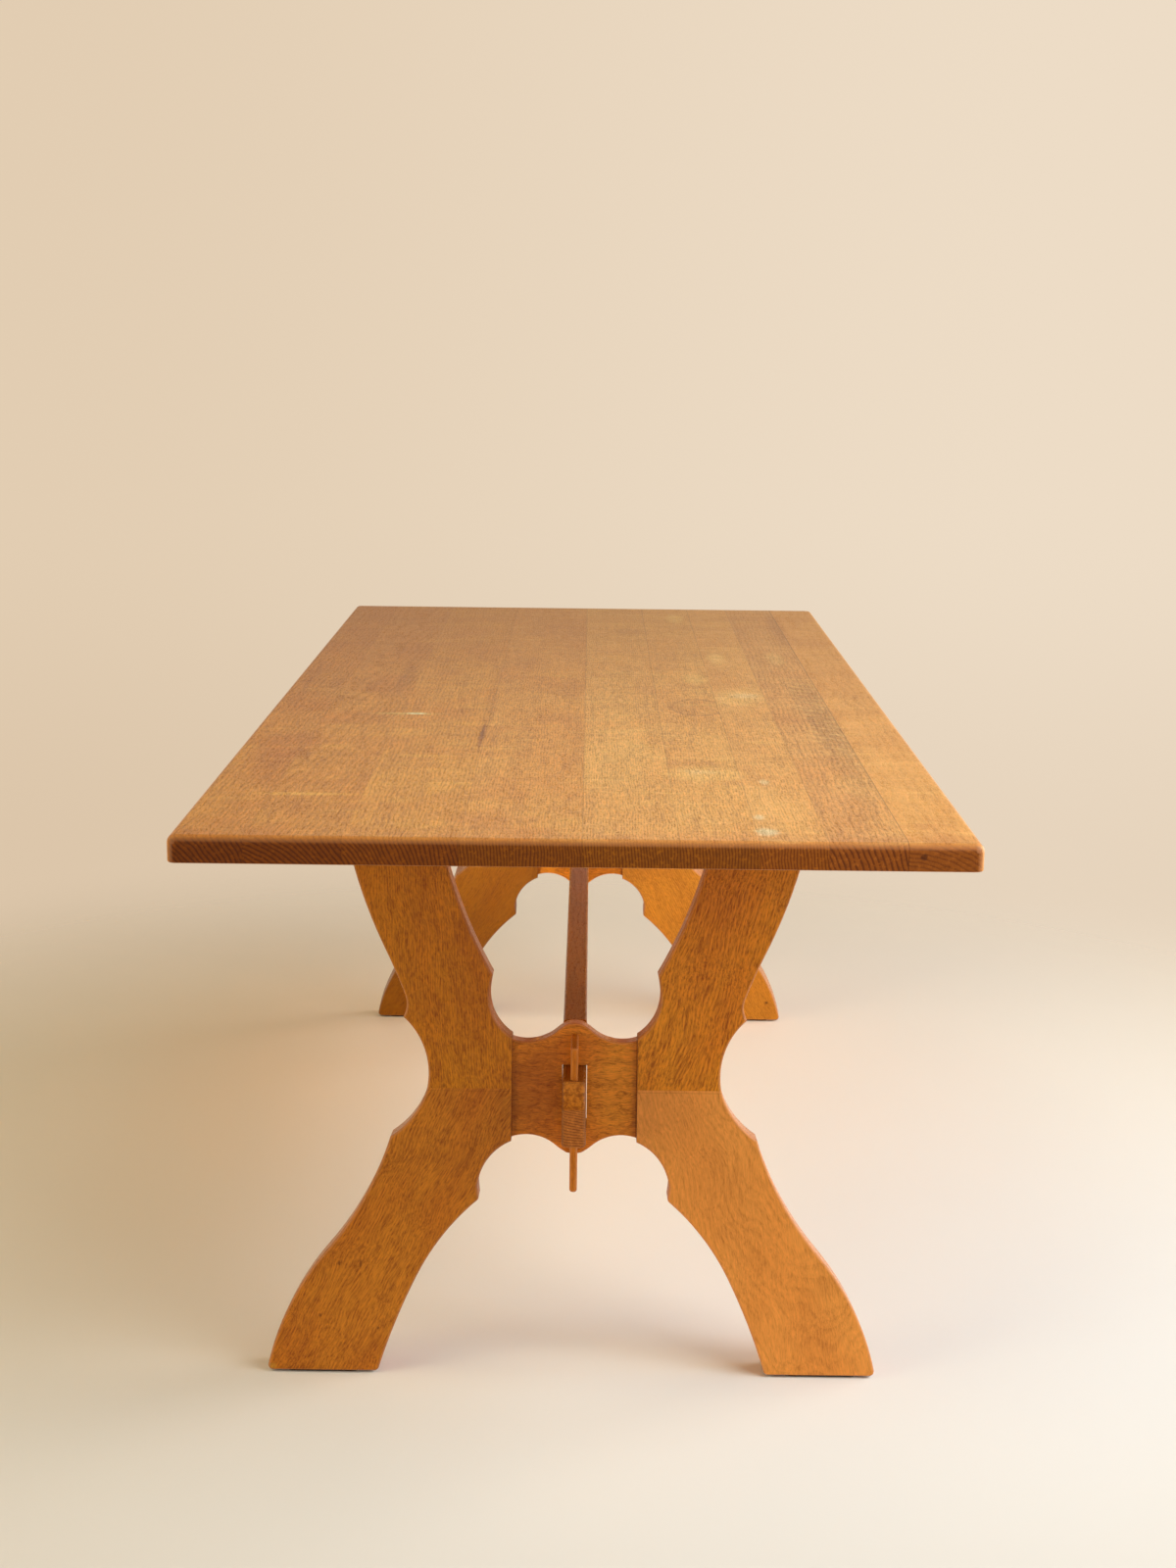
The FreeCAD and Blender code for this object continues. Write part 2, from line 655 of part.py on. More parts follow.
def make_wedge(end_name, end):
    """A tusk wedge: its back lies along the block's leaning face, and its front tapers down. It
    is driven down from above and knocked up along the block to free the joint."""
    body = new_body(f"{end_name}_tusk_wedge")
    sketch = sketch_on(body, "YZ_Plane", "Outline")
    low = size("wedge_low_height")
    high = size("wedge_high_height")
    top_ease = size("wedge_top_ease")
    end_ease = size("wedge_end_ease")

    def back(height):
        return block_outer(height) + size("wedge_gap")

    def front(height):
        return back(height) + wedge_depth(height)

    top_bow = -end * quarter_bow(top_ease)
    end_bow = -end * quarter_bow(end_ease)
    draw_outline(sketch, [
        (end * (back(low) + end_ease), low, 0),
        (end * (front(low) - end_ease), low, end_bow),
        (end * front(low + end_ease), low + end_ease, 0),
        (end * front(high - top_ease), high - top_ease, top_bow),
        (end * (front(high) - top_ease), high, 0),
        (end * (back(high) + top_ease), high, top_bow),
        (end * back(high - top_ease), high - top_ease, 0),
        (end * back(low + end_ease), low + end_ease, end_bow),
    ])
    pad(body, sketch, "Sizes.wedge_thickness")
    face = size("wedge_thickness") / 2
    round_edges(body, "Sizes.wedge_arris", lambda e: on_faces(e, "X", face))


# ---------------------------------------------------------------- pads, dowels and screws

def make_pad(name, side, end):
    """A felt pad under one foot."""
    block = doc.addObject("Part::Box", "Felt")
    bind(block, {"Length": "Sizes.pad_length", "Width": "Sizes.pad_width",
                 "Height": "Sizes.pad_thickness"})
    block.Placement.Base = Vector(side * size("pad_x") - size("pad_length") / 2,
                                  end * size("trestle_place") - size("pad_width") / 2, 0)
    doc.recompute()
    felt = doc.addObject("Part::Fillet", f"{name}_felt_pad")
    felt.Base = block
    corner = size("pad_corner")
    upright = [i for i, edge in enumerate(block.Shape.Edges, start=1)
               if edge.BoundBox.ZLength > edge.BoundBox.XLength + edge.BoundBox.YLength]
    felt.Edges = [(i, corner, corner) for i in upright]
    felt.Label = f"{name}_felt_pad"
    pieces.append(felt)


def dowel(kind, middle, direction):
    """One dowel with eased ends, centred on middle. kind picks its row of sheet names."""
    peg = doc.addObject("Part::Cylinder", "Peg")
    bind(peg, {"Radius": f"Sizes.{kind}_dowel_radius", "Height": f"Sizes.{kind}_dowel_length"})
    half = size(f"{kind}_dowel_length") / 2
    peg.Placement = Placement(middle - direction * half, Rotation(Vector(0, 0, 1), direction))
    doc.recompute()
    eased = doc.addObject("Part::Chamfer", "Dowel")
    eased.Base = peg
    ease = size("dowel_ease")
    rims = [i for i, edge in enumerate(peg.Shape.Edges, start=1)
            if isinstance(edge.Curve, Part.Circle)]
    eased.Edges = [(i, ease, ease) for i in rims]
    return eased


def group(label, members):
    """Several like fasteners kept together as one piece of the parts list."""
    compound = doc.addObject("Part::Compound", label)
    compound.Links = members
    compound.Label = label
    pieces.append(compound)


def make_dowels(end_name, end):
    """The hidden dowels of one trestle: at the waist, under the bearer and beside the block."""
    for label, kind, places in (("waist", "waist", waist_dowel_places),
                                ("bearer", "waist", head_dowel_places),
                                ("block", "block", block_dowel_places)):
        pegs = [dowel(kind, middle, direction)
                for side in SIDES.values() for middle, direction in places(side, end)]
        group(f"{end_name}_{label}_dowels", pegs)


def wood_screw(x, y, shank_start):
    """One cheese-headed wood screw driven upwards. Its shank starts at the height given."""
    length = size("screw_length")
    shank = doc.addObject("Part::Cylinder", "Shank")
    bind(shank, {"Radius": "Sizes.screw_radius", "Height": "Sizes.screw_length - Sizes.screw_point"})
    shank.Placement.Base = Vector(x, y, shank_start)
    point = doc.addObject("Part::Cone", "Point")
    bind(point, {"Radius1": "Sizes.screw_radius", "Height": "Sizes.screw_point"})
    point.Radius2 = 0
    point.Placement.Base = Vector(x, y, shank_start + length - size("screw_point"))
    head = doc.addObject("Part::Cylinder", "Head")
    bind(head, {"Radius": "Sizes.screw_head_radius", "Height": "Sizes.screw_head_height"})
    head.Placement.Base = Vector(x, y, shank_start - size("screw_head_height"))
    whole = doc.addObject("Part::MultiFuse", "Turned")
    whole.Shapes = [head, shank, point]
    notch = doc.addObject("Part::Box", "Notch")
    bind(notch, {"Length": f"2 * (Sizes.screw_head_radius + {PAST})",
                 "Width": "Sizes.screw_slot_width", "Height": "Sizes.screw_slot_depth"})
    notch.Placement.Base = Vector(x - size("screw_head_radius") - PAST,
                                  y - size("screw_slot_width") / 2,
                                  shank_start - size("screw_head_height"))
    screw = doc.addObject("Part::Cut", "Screw")
    screw.Base = whole
    screw.Tool = notch
    return screw


def washer(x, y, top):
    """A flat washer whose upper face is at the height given."""
    disc = doc.addObject("Part::Cylinder", "Disc")
    bind(disc, {"Radius": "Sizes.washer_radius", "Height": "Sizes.washer_thickness"})
    disc.Placement.Base = Vector(x, y, top - size("washer_thickness"))
    hole = doc.addObject("Part::Cylinder", "Hole")
    bind(hole, {"Radius": "Sizes.screw_radius + Sizes.washer_play",
                "Height": f"Sizes.washer_thickness + 2 * {PAST}"})
    hole.Placement.Base = Vector(x, y, top - size("washer_thickness") - PAST)
    ring = doc.addObject("Part::Cut", "Washer")
    ring.Base = disc
    ring.Tool = hole
    return ring


def make_screws(end_name, end):
    """The screws and washers that hold the top down on one bearer."""
    y = end * size("bearer_place")
    seat = size("head_height") + size("counterbore_depth")
    screws = [wood_screw(x, y, seat - size("washer_thickness")) for x in screw_places()]
    washers = [washer(x, y, seat) for x in screw_places()]
    group(f"{end_name}_top_screws", screws)
    group(f"{end_name}_top_washers", washers)


# ---------------------------------------------------------------- the whole table

def make_trestle(end_name, end):
    """Everything of one trestle that is glued or screwed together."""
    for side_name, side in SIDES.items():
        name = f"{end_name}_{side_name}"
        make_leg(name, side, end)
        make_arm(name, side, end)
        make_pad(name, side, end)
    make_block(end_name, end)
    make_bearer(end_name, end)
    make_dowels(end_name, end)
    make_screws(end_name, end)


def check(things):
    """Stops if any object failed or any piece is not a sound closed shape."""
    for thing in doc.Objects:
        if "Invalid" in thing.State or "Error" in thing.State:
            raise RuntimeError(f"{thing.Label} ({thing.Name}) failed: {thing.State}")
    for piece in things:
        shape = piece.Shape
        if shape.isNull() or not shape.isValid() or not shape.Solids:
            raise RuntimeError(f"{piece.Label} has no sound shape")


def export(things):
    """Writes one STEP file for each piece, and prints its box and volume."""
    os.makedirs("parts", exist_ok=True)
    for piece in things:
        piece.Shape.exportStep(os.path.join("parts", f"{piece.Label}.step"))
        box = piece.Shape.BoundBox
        print(f"{piece.Label:24s} solids {len(piece.Shape.Solids)}"
              f"  x {box.XMin:8.1f} {box.XMax:8.1f}  y {box.YMin:8.1f} {box.YMax:8.1f}"
              f"  z {box.ZMin:7.1f} {box.ZMax:7.1f}  cm3 {piece.Shape.Volume / 1000:8.1f}")


make_top()
for end_name, end in ENDS.items():
    make_trestle(end_name, end)
make_rail()
for end_name, end in ENDS.items():
    make_wedge(end_name, end)
doc.recompute()
check(pieces)
export(pieces)
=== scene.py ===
# %% [markdown]
# # An oak trestle table, from bare solids to a finished picture
#
# The solids of the table come from its CAD source as one fixed model, in metres, and nothing here
# moves them. What is left to do is what a maker does last: choose how the grain of each board
# runs, oil the wood, wear it a little, round over the wedges, lay felt under the feet, and set up
# the studio.

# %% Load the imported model
import bpy
import math
import numpy as np
from mathutils import Matrix, Vector


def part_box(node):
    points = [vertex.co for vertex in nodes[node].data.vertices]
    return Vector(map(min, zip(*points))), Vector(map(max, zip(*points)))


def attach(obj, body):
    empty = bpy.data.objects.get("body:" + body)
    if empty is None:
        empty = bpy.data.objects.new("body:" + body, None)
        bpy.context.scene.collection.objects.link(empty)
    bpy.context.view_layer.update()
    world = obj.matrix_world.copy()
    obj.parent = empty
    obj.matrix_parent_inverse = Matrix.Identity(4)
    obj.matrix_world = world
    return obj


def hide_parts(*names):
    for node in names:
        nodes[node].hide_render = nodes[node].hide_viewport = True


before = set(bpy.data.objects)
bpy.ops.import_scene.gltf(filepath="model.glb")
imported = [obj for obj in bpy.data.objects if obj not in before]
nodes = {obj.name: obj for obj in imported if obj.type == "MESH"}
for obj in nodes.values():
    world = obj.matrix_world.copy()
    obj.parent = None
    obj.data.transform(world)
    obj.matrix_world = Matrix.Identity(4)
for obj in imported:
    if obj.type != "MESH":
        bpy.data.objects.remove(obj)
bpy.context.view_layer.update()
scene = bpy.context.scene

# %% [markdown]
# ## The camera
#
# The camera stands in front of one end of the table, a little to the right of its middle line,
# at the height of a person's chest, and looks slightly down. It could be aimed by a constraint,
# but then its small tilt would be hard to state, so its three axes are worked out from how far it
# looks down and how far it is tilted, and go straight into its matrix. A lens of 50 mm on a 36 mm
# sensor is close to how the eye sees, so the top narrows towards its far end without looking
# stretched.

# %% Set up the camera
LENS_MM = 50.2
SENSOR_MM = 36
LOOKS_DOWN = 0.2093          # radians
TILT = 0.01172               # radians, anticlockwise as the camera sees it
STANDS_AT = Vector((0.0123, -3.1913, 1.2670))


def camera_matrix(place, down, tilt):
    """A camera at place that looks along +Y, turned down and then tilted about its own view.
    Its x axis is cos(tilt) right + sin(tilt) up, and its z axis points back at the viewer."""
    ahead = Vector((0, math.cos(down), -math.sin(down)))
    up = Vector((0, math.sin(down), math.cos(down)))
    right = Vector((1, 0, 0))
    x_axis = math.cos(tilt) * right + math.sin(tilt) * up
    y_axis = math.cos(tilt) * up - math.sin(tilt) * right
    turn = Matrix((x_axis, y_axis, -ahead)).transposed().to_4x4()
    return Matrix.Translation(place) @ turn


camera = bpy.data.objects.new("Camera", bpy.data.cameras.new("Camera"))
scene.collection.objects.link(camera)
camera.data.sensor_width = SENSOR_MM
camera.data.lens = LENS_MM
camera.matrix_world = camera_matrix(STANDS_AT, LOOKS_DOWN, TILT)
scene.camera = camera
scene.view_settings.view_transform = "Standard"
print("camera at", [round(v, 3) for v in STANDS_AT], "with a lens of", LENS_MM, "mm")

# %% [markdown]
# ## Arithmetic on shader values
#
# A pattern such as growth rings is a formula, and a formula is easier to read as one than as
# twenty boxes and wires. The class below wraps one output of a material's nodes. Adding or
# multiplying two of them adds the Math node that does it, and any other node comes from `node`.

# %% A value in a material
class Value:
    """One output of a material's nodes, on which the usual operators work."""

    def __init__(self, tree, socket=None):
        self.tree = tree
        self.socket = socket

    def node(self, kind, settings=None, inputs=None, output=0):
        """Adds a node. settings are the node's own and are set first, and inputs are values or
        plain numbers for its sockets."""
        made = self.tree.nodes.new(kind)
        for name, setting in (settings or {}).items():
            setattr(made, name, setting)
        for name, given in (inputs or {}).items():
            if isinstance(given, Value):
                self.tree.links.new(given.socket, made.inputs[name])
            else:
                made.inputs[name].default_value = given
        return Value(self.tree, made.outputs[output])

    def maths(self, operation, *terms):
        """One Math node on the given terms."""
        return self.node("ShaderNodeMath", {"operation": operation}, dict(enumerate(terms)))

    def vector(self, operation, *terms, output=0):
        """One Vector Math node on the given terms."""
        return self.node("ShaderNodeVectorMath", {"operation": operation},
                         dict(enumerate(terms)), output)

    def __add__(self, other):
        return self.maths("ADD", self, other)

    def __radd__(self, other):
        return self.maths("ADD", other, self)

    def __sub__(self, other):
        return self.maths("SUBTRACT", self, other)

    def __rsub__(self, other):
        return self.maths("SUBTRACT", other, self)

    def __mul__(self, other):
        return self.maths("MULTIPLY", self, other)

    def __rmul__(self, other):
        return self.maths("MULTIPLY", other, self)

    def __truediv__(self, other):
        return self.maths("DIVIDE", self, other)

    def __rtruediv__(self, other):
        return self.maths("DIVIDE", other, self)

    def __abs__(self):
        return self.maths("ABSOLUTE", self)


print("a value works with + - * / and abs")

# %% [markdown]
# ## Small tools for patterns
#
# Nearly every mark on wood is one of a few things: a soft step from one state to another, a
# blend of two colours, or random blotches stretched along the grain. Each gets a function, so
# that the recipes further down read like recipes.

# %% Steps, blends and blotches
def root(value):
    """The square root of a value."""
    return value.maths("SQRT", value)


def part(value):
    """What is left of a value after its whole number is taken off."""
    return value.maths("FRACT", value)


def within(value):
    """A value kept between 0 and 1."""
    return value.node("ShaderNodeClamp", {}, {0: value, 1: 0.0, 2: 1.0})


def ramp(value, low, high):
    """Rises smoothly from 0 to 1 while value goes from low to high."""
    return value.node("ShaderNodeMapRange", {"interpolation_type": "SMOOTHSTEP"},
                      {"Value": value, "From Min": low, "From Max": high})


def mix(first, second, share):
    """A colour that goes from first to second as share goes from 0 to 1."""
    some = next(v for v in (share, first, second) if isinstance(v, Value))
    return some.node("ShaderNodeMix", {"data_type": "RGBA"}, {0: share, 6: first, 7: second}, 2)


def stain(colour, paint, mask):
    """Multiplies a colour by paint as far as mask says, from 0 to 1."""
    return mix(colour, colour.vector("MULTIPLY", colour, paint), mask)


def axes(vector):
    """The three numbers of a vector."""
    return [vector.node("ShaderNodeSeparateXYZ", {}, {0: vector}, i) for i in range(3)]


def noise(place, blotch, detail=2.0, roughness=0.5, shift=0.0):
    """Soft random blotches, from 0 to 1, around 0.5. blotch is their size along each axis, in
    the units of place, and shift picks another part of the pattern."""
    scaled = place.vector("DIVIDE", place, blotch)
    moved = place.vector("ADD", scaled, (shift, shift * 0.7, shift * 1.3))
    return moved.node("ShaderNodeTexNoise", {},
                      {"Vector": moved, "Scale": 1.0, "Detail": detail, "Roughness": roughness})


def surface_place(start):
    """Where a place is, along the table's three axes, in metres."""
    return start.node("ShaderNodeTexCoord", output="Object")


def surface_mm(start):
    """Where a place is, along the table's three axes, in millimetres."""
    place = surface_place(start)
    return place.vector("MULTIPLY", place, (1000, 1000, 1000))


def surface_way(start):
    """The direction that the surface faces, along the table's three axes."""
    return start.node("ShaderNodeTexCoord", output="Normal")


def srgb(red, green, blue):
    """A colour as it is read off a screen, from 0 to 255, as the light that Blender works in."""
    return tuple((c / 255 / 12.92) if c / 255 <= 0.04045 else ((c / 255 + 0.055) / 1.055) ** 2.4
                 for c in (red, green, blue)) + (1.0,)


def shade_of(colour, red, green, blue):
    """A colour with each part multiplied."""
    return (colour[0] * red, colour[1] * green, colour[2] * blue, 1.0)


print("one hundred of screen grey is", round(srgb(100, 100, 100)[0], 3), "of light")

# %% [markdown]
# ## The studio
#
# A seamless sweep of pale paper would stand in the way when the table is looked at from behind.
# The floor is a round sheet instead. It fades out towards its rim and is clear from below, and a
# backdrop shows beyond it from every side, with painted shade that makes it darker to the left and
# low down. Light Path keeps the backdrop out of the lighting: the camera sees the backdrop's
# colour, polished faces see it only behind the table, and the wood gets a softer, dimmer glow.

# %% The backdrop
# The backdrop carries painted shade: it is darker on the left, away from the window light, and
# darker low down, towards the floor.
BACKDROP_LEFT = srgb(226, 205, 178)
BACKDROP_RIGHT = srgb(237, 220, 198)
LEFT_TO_RIGHT = (-0.27, 0.22)       # these three are parts of a unit vector along the view
HIGH_TO_LOW = (-0.08, -0.24)
FRONT_TO_BACK = (-0.4, 0.3)
LOW_PAINTED_SHADE = (0.94, 0.92, 0.90)
GLOW = srgb(255, 222, 188)
GLOW_STRENGTH = 0.10

world = bpy.data.worlds.new("Studio")
scene.world = world
world.use_nodes = True
world.node_tree.nodes.clear()
start = Value(world.node_tree)
view_x, view_y, view_z = axes(start.node("ShaderNodeTexCoord", output="Generated"))
# painted shade: darker to the left and towards the floor
paper = mix(BACKDROP_LEFT, BACKDROP_RIGHT, ramp(view_x, *LEFT_TO_RIGHT))
paper = stain(paper, LOW_PAINTED_SHADE, ramp(view_z, *HIGH_TO_LOW))
glossy = start.node("ShaderNodeLightPath", output="Is Glossy Ray")
glossy = glossy * ramp(view_y, *FRONT_TO_BACK)
seen = start.node("ShaderNodeLightPath", output="Is Camera Ray")
seen = seen.maths("MAXIMUM", seen, glossy)
clear = start.node("ShaderNodeLightPath", output="Is Transmission Ray")
seen = seen.maths("MAXIMUM", seen, clear)
glow = start.node("ShaderNodeBackground", {}, {"Color": GLOW, "Strength": GLOW_STRENGTH})
backdrop = start.node("ShaderNodeBackground", {}, {"Color": paper, "Strength": 1.0})
both = start.node("ShaderNodeMixShader", {}, {0: seen, 1: glow, 2: backdrop})
world_output = world.node_tree.nodes.new("ShaderNodeOutputWorld")
world.node_tree.links.new(both.socket, world_output.inputs["Surface"])
print("backdrop with", len(world.node_tree.nodes), "nodes")


# %% The floor
FLOOR_RADIUS = 3.4
FLOOR_FADE = (0.9, 2.1)             # metres from the middle
FLOOR_DEPTH = (-1.1, 0.9)           # metres, from the near colour to the far one
# The far floor is paler than the near one: painted light where the lamps' light falls off towards
# the back.
FLOOR_NEAR = srgb(240, 234, 225)
FLOOR_FAR = srgb(249, 238, 219)


def disc(radius, rings, sectors):
    """A flat round sheet. Point (i, j) stands at radius i / rings and at the angle j / sectors of
    a turn, and the points of the middle are one."""
    distance = radius * np.arange(1, rings + 1) / rings
    angle = 2 * np.pi * np.arange(sectors) / sectors
    x = np.outer(distance, np.cos(angle)).ravel()
    y = np.outer(distance, np.sin(angle)).ravel()
    points = np.column_stack([x, y, np.zeros_like(x)])
    points = np.vstack([[0, 0, 0], points])
    j = np.arange(sectors)
    after = (j + 1) % sectors
    hub = np.column_stack([np.zeros_like(j), j + 1, after + 1])
    low = 1 + sectors * np.arange(rings - 1)[:, None]
    high = low + sectors
    quads = np.stack([low + j, high + j, high + after, low + after], axis=-1).reshape(-1, 4)
    mesh = bpy.data.meshes.new("floor")
    mesh.from_pydata(points.tolist(), [], hub.tolist() + quads.tolist())
    return mesh


floor = bpy.data.objects.new("floor", disc(FLOOR_RADIUS, 24, 96))
scene.collection.objects.link(floor)
floor_paper = bpy.data.materials.new("floor_paper")
floor_paper.use_nodes = True
floor_paper.node_tree.nodes.clear()
start = Value(floor_paper.node_tree)
place = surface_place(start)
away = place.vector("LENGTH", place, output="Value")
# painted light: paler towards the back
colour = mix(FLOOR_NEAR, FLOOR_FAR, ramp(axes(place)[1], *FLOOR_DEPTH))
sheet = start.node("ShaderNodeBsdfDiffuse", {}, {"Color": colour})
nothing = start.node("ShaderNodeBsdfTransparent")
below = start.node("ShaderNodeNewGeometry", output="Backfacing")
gone = below.maths("MAXIMUM", ramp(away, *FLOOR_FADE), below)
faded = start.node("ShaderNodeMixShader", {}, {0: gone, 1: sheet, 2: nothing})
floor_output = floor_paper.node_tree.nodes.new("ShaderNodeOutputMaterial")
floor_paper.node_tree.links.new(faded.socket, floor_output.inputs["Surface"])
floor.data.materials.append(floor_paper)
print("floor", len(floor.data.polygons), "faces")

# %% [markdown]
# ## The lamps
#
# The light comes from a window on the right: one large soft lamp stands close to it and two more
# beyond the table's right side. Weaker ones fill in from the left, from behind and from the front,
# so that the side in shadow keeps its colour. Brighter wood would be a simpler way to lift the far
# trestle out of the shade under the top, but it would look wrong from behind. So two small lamps
# with honeycombs stand low on the floor, one on each side of the table, and light it, and the far
# arms' lighter tints add some painted light.

# %% Ten soft lamps
WIDE = 180                          # degrees
HONEYCOMB = 36
LAMPS = {
    # name: (place, aim, side in metres, watts, colour, spread)
    "window": ((1.6, -1.4, 1.9), (0.0, -0.5, 0.5), 1.5, 60, (0.435, 0.465, 0.46), WIDE),
    "right_high": ((2.8, -0.8, 2.6), (0.0, 0.0, 0.4), 2.0, 150, (0.22, 0.295, 0.38), WIDE),
    "right_low": ((3.3, 1.0, 1.2), (0.0, 0.2, 0.4), 2.2, 150, (0.51, 0.465, 0.425), WIDE),
    "left_fill": ((-2.8, -0.8, 2.6), (0.0, 0.0, 0.4), 2.2, 150, (0.285, 0.255, 0.165), WIDE),
    "left_front": ((-3.2, -2.4, 0.9), (0.0, 0.1, 0.4), 1.8, 150, (0.30, 0.28, 0.20), WIDE),
    "right_front": ((3.2, -3.0, 1.2), (0.0, -0.3, 0.4), 2.0, 150, (0.15, 0.14, 0.135), WIDE),
    "back_fill": ((0.0, 3.0, 3.0), (0.0, 0.0, 0.5), 2.2, 150, (0.09, 0.075, 0.065), WIDE),
    "front_fill": ((0.3, -5.0, 1.0), (0.0, -0.2, 0.4), 2.4, 250, (0.078, 0.080, 0.086), WIDE),
    "rear_left": ((-1.15, -0.5, 0.12), (-0.22, 0.66, 0.62), 0.35, 2.0, (1.0, 0.98, 0.8),
                  HONEYCOMB),
    "rear_right": ((1.15, -0.5, 0.12), (0.22, 0.66, 0.62), 0.35, 0.70, (1.0, 0.96, 0.9),
                   HONEYCOMB),
}


def soft_lamp(name, place, aim, side, watts, colour, spread):
    """A square lamp that stands at place and faces aim. spread is how wide its light opens, in
    degrees: a honeycomb in front of a lamp keeps it narrow."""
    lamp = bpy.data.lights.new(name, "AREA")
    lamp.shape = "SQUARE"
    lamp.size = side
    lamp.energy = watts
    lamp.color = colour
    lamp.spread = math.radians(spread)
    thing = bpy.data.objects.new(name, lamp)
    scene.collection.objects.link(thing)
    thing.location = place
    thing.visible_camera = False
    thing.rotation_mode = "QUATERNION"
    thing.rotation_quaternion = (Vector(aim) - Vector(place)).to_track_quat("-Z", "Y")


for name, setting in LAMPS.items():
    soft_lamp(name, *setting)
print(len(LAMPS), "lamps")

# %% [markdown]
# ## Oak
#
# Oak shows five things at once. Its growth rings begin with a band of large pores, which takes
# the oil and goes dark, and end in dense paler wood. The pores are cut as short dark dashes along
# the grain. Rays are thin sheets that run out from the heart, and where a face lies along them
# they show as pale flecks. Last come a broad streak and a fine one along the fibres.
#
# A flat pattern wrapped round each board would break at every edge, so oak is drawn as a solid
# material: its rings and rays are worked out around the line of the heart, which lies somewhere
# beside or below the board. The same few numbers then give straight grain, flame shapes and the
# arcs on an end, and they meet at the edges.
#
# Each piece has its own frame: u across the face, v along the grain and w through the thickness,
# in millimetres from the middle of the piece. The Mapping node turns the table's frame into it.

# %% The grain of one piece
STRAIGHT = (0.0, 0.0)               # the lean of a heart that runs straight along a piece
FLAT = (0.0, 0.0, 0.0)              # the turn of a piece whose grain runs along the table


def wood_frame(start, centre, turn):
    """Places on a piece as (u, v, w) in millimetres. centre is its middle in metres, and turn
    the angles that take v from +Y to the way its grain runs."""
    return start.node("ShaderNodeMapping", {"vector_type": "TEXTURE"},
                      {"Vector": surface_place(start), "Location": centre, "Rotation": turn,
                       "Scale": (0.001, 0.001, 0.001)})


def grain_way(turn):
    """The direction of the grain in the table's frame."""
    x, y, z = turn
    turned = Matrix.Rotation(z, 3, "Z") @ Matrix.Rotation(y, 3, "Y") @ Matrix.Rotation(x, 3, "X")
    return turned @ Vector((0, 1, 0))


def sway(frame_mm, size, amount, seed):
    """Bends the grain: every place moves across it by about amount millimetres, following slow
    noise whose blotches are size millimetres across."""
    scaled = frame_mm.vector("DIVIDE", frame_mm, (size, size * 1.5, size))
    moved = frame_mm.vector("ADD", scaled, (seed, seed * 0.6, seed * 1.7))
    push = moved.node("ShaderNodeTexNoise", {},
                      {"Vector": moved, "Scale": 1.0, "Detail": 1.0, "Roughness": 0.5}, 1)
    push = push.vector("SUBTRACT", push, (0.5, 0.5, 0.5))
    push = push.vector("MULTIPLY", push, (4 * amount, 0.0, 4 * amount))
    return push.vector("ADD", frame_mm, push)


def growth(frame_mm, heart, lean):
    """How far a place is from the heart of the tree, in millimetres, the angle it lies at and how
    far along the grain it is. The heart passes (u, w) = heart at the middle of the piece and
    leans by lean over each millimetre along the grain."""
    u, v, w = axes(frame_mm)
    du = u - heart[0] - lean[0] * v
    dw = w - heart[1] - lean[1] * v
    distance = root(du * du + dw * dw)
    return distance, du.maths("ARCTAN2", dw, du), v


print("heart line and frame ready")


# %% Rings, pores, rays and fibres
# Sizes of the marks in millimetres: across, along the grain and through.
RING_WANDER = (22, 300, 22)
BROAD_STREAK = (9, 160, 9)
FINE_STREAK = (1.7, 20, 1.7)
PORE = (1.2, 7, 1.2)
RAY_APART, RAY_LONG, RAY_DEEP = 1.5, 9.0, 6.0
FEWER_PORES = 0.07                  # how much rarer pores are outside the dark band


def oak_figure(frame_mm, heart, lean, ring, seed, fine):
    """The marks of oak, each from 0 to 1: the dark start of each ring, the cut pores, the pale
    rays, the broad streak and the fine one. fine scales the pores, rays and fine streak."""
    distance, angle, v = growth(frame_mm, heart, lean)
    years = distance / ring + noise(frame_mm, RING_WANDER, 1.0, 0.5, seed + 2.1) * 1.2
    year = part(years)
    dark_band = ramp(year, 0.62, 0.06) + ramp(year, 0.9, 1.0)
    broad = noise(frame_mm, BROAD_STREAK, 2.0, 0.6, seed + 9.7)
    streak = noise(frame_mm, tuple(fine * size for size in FINE_STREAK), 2.0, 0.6, seed + 13.1)
    dash = noise(frame_mm, tuple(fine * size for size in PORE), 1.0, 0.5, seed + 17.0)
    pores = ramp(dash - FEWER_PORES * (1 - dark_band), 0.50, 0.60)
    around = angle * (math.hypot(*heart) / (RAY_APART * fine))
    sheet = v.node("ShaderNodeCombineXYZ", {},
                   {0: around, 1: v / (RAY_LONG * fine), 2: distance / RAY_DEEP})
    rays = ramp(noise(sheet, (1, 1, 1), 1.0, 0.5, seed + 4.0), 0.58, 0.68)
    return dark_band, pores, rays, broad, streak


print("oak has five marks")

# %% [markdown]
# ## Putting the colours together
#
# The wood's own colour is the dense late wood. The marks could each be painted over it in turn,
# but the last would hide the first, so they are added up to one depth, and the depth goes from
# the pale colour through the wood's own to the dark one. Ends take up more oil than faces, so
# where a face turns towards the grain the colour goes darker and the rings get sharper. The same
# marks give the gloss, since pores are dull and rays shine, and the height, since pores are small
# furrows.

# %% Starting and ending a finish
SPECULAR = 0.22                     # oiled wood and old steel both shine weakly


def new_finish(name):
    """An empty material and the value that its nodes are added through."""
    made = bpy.data.materials.new(name)
    made.use_nodes = True
    made.node_tree.nodes.clear()
    return made, Value(made.node_tree)


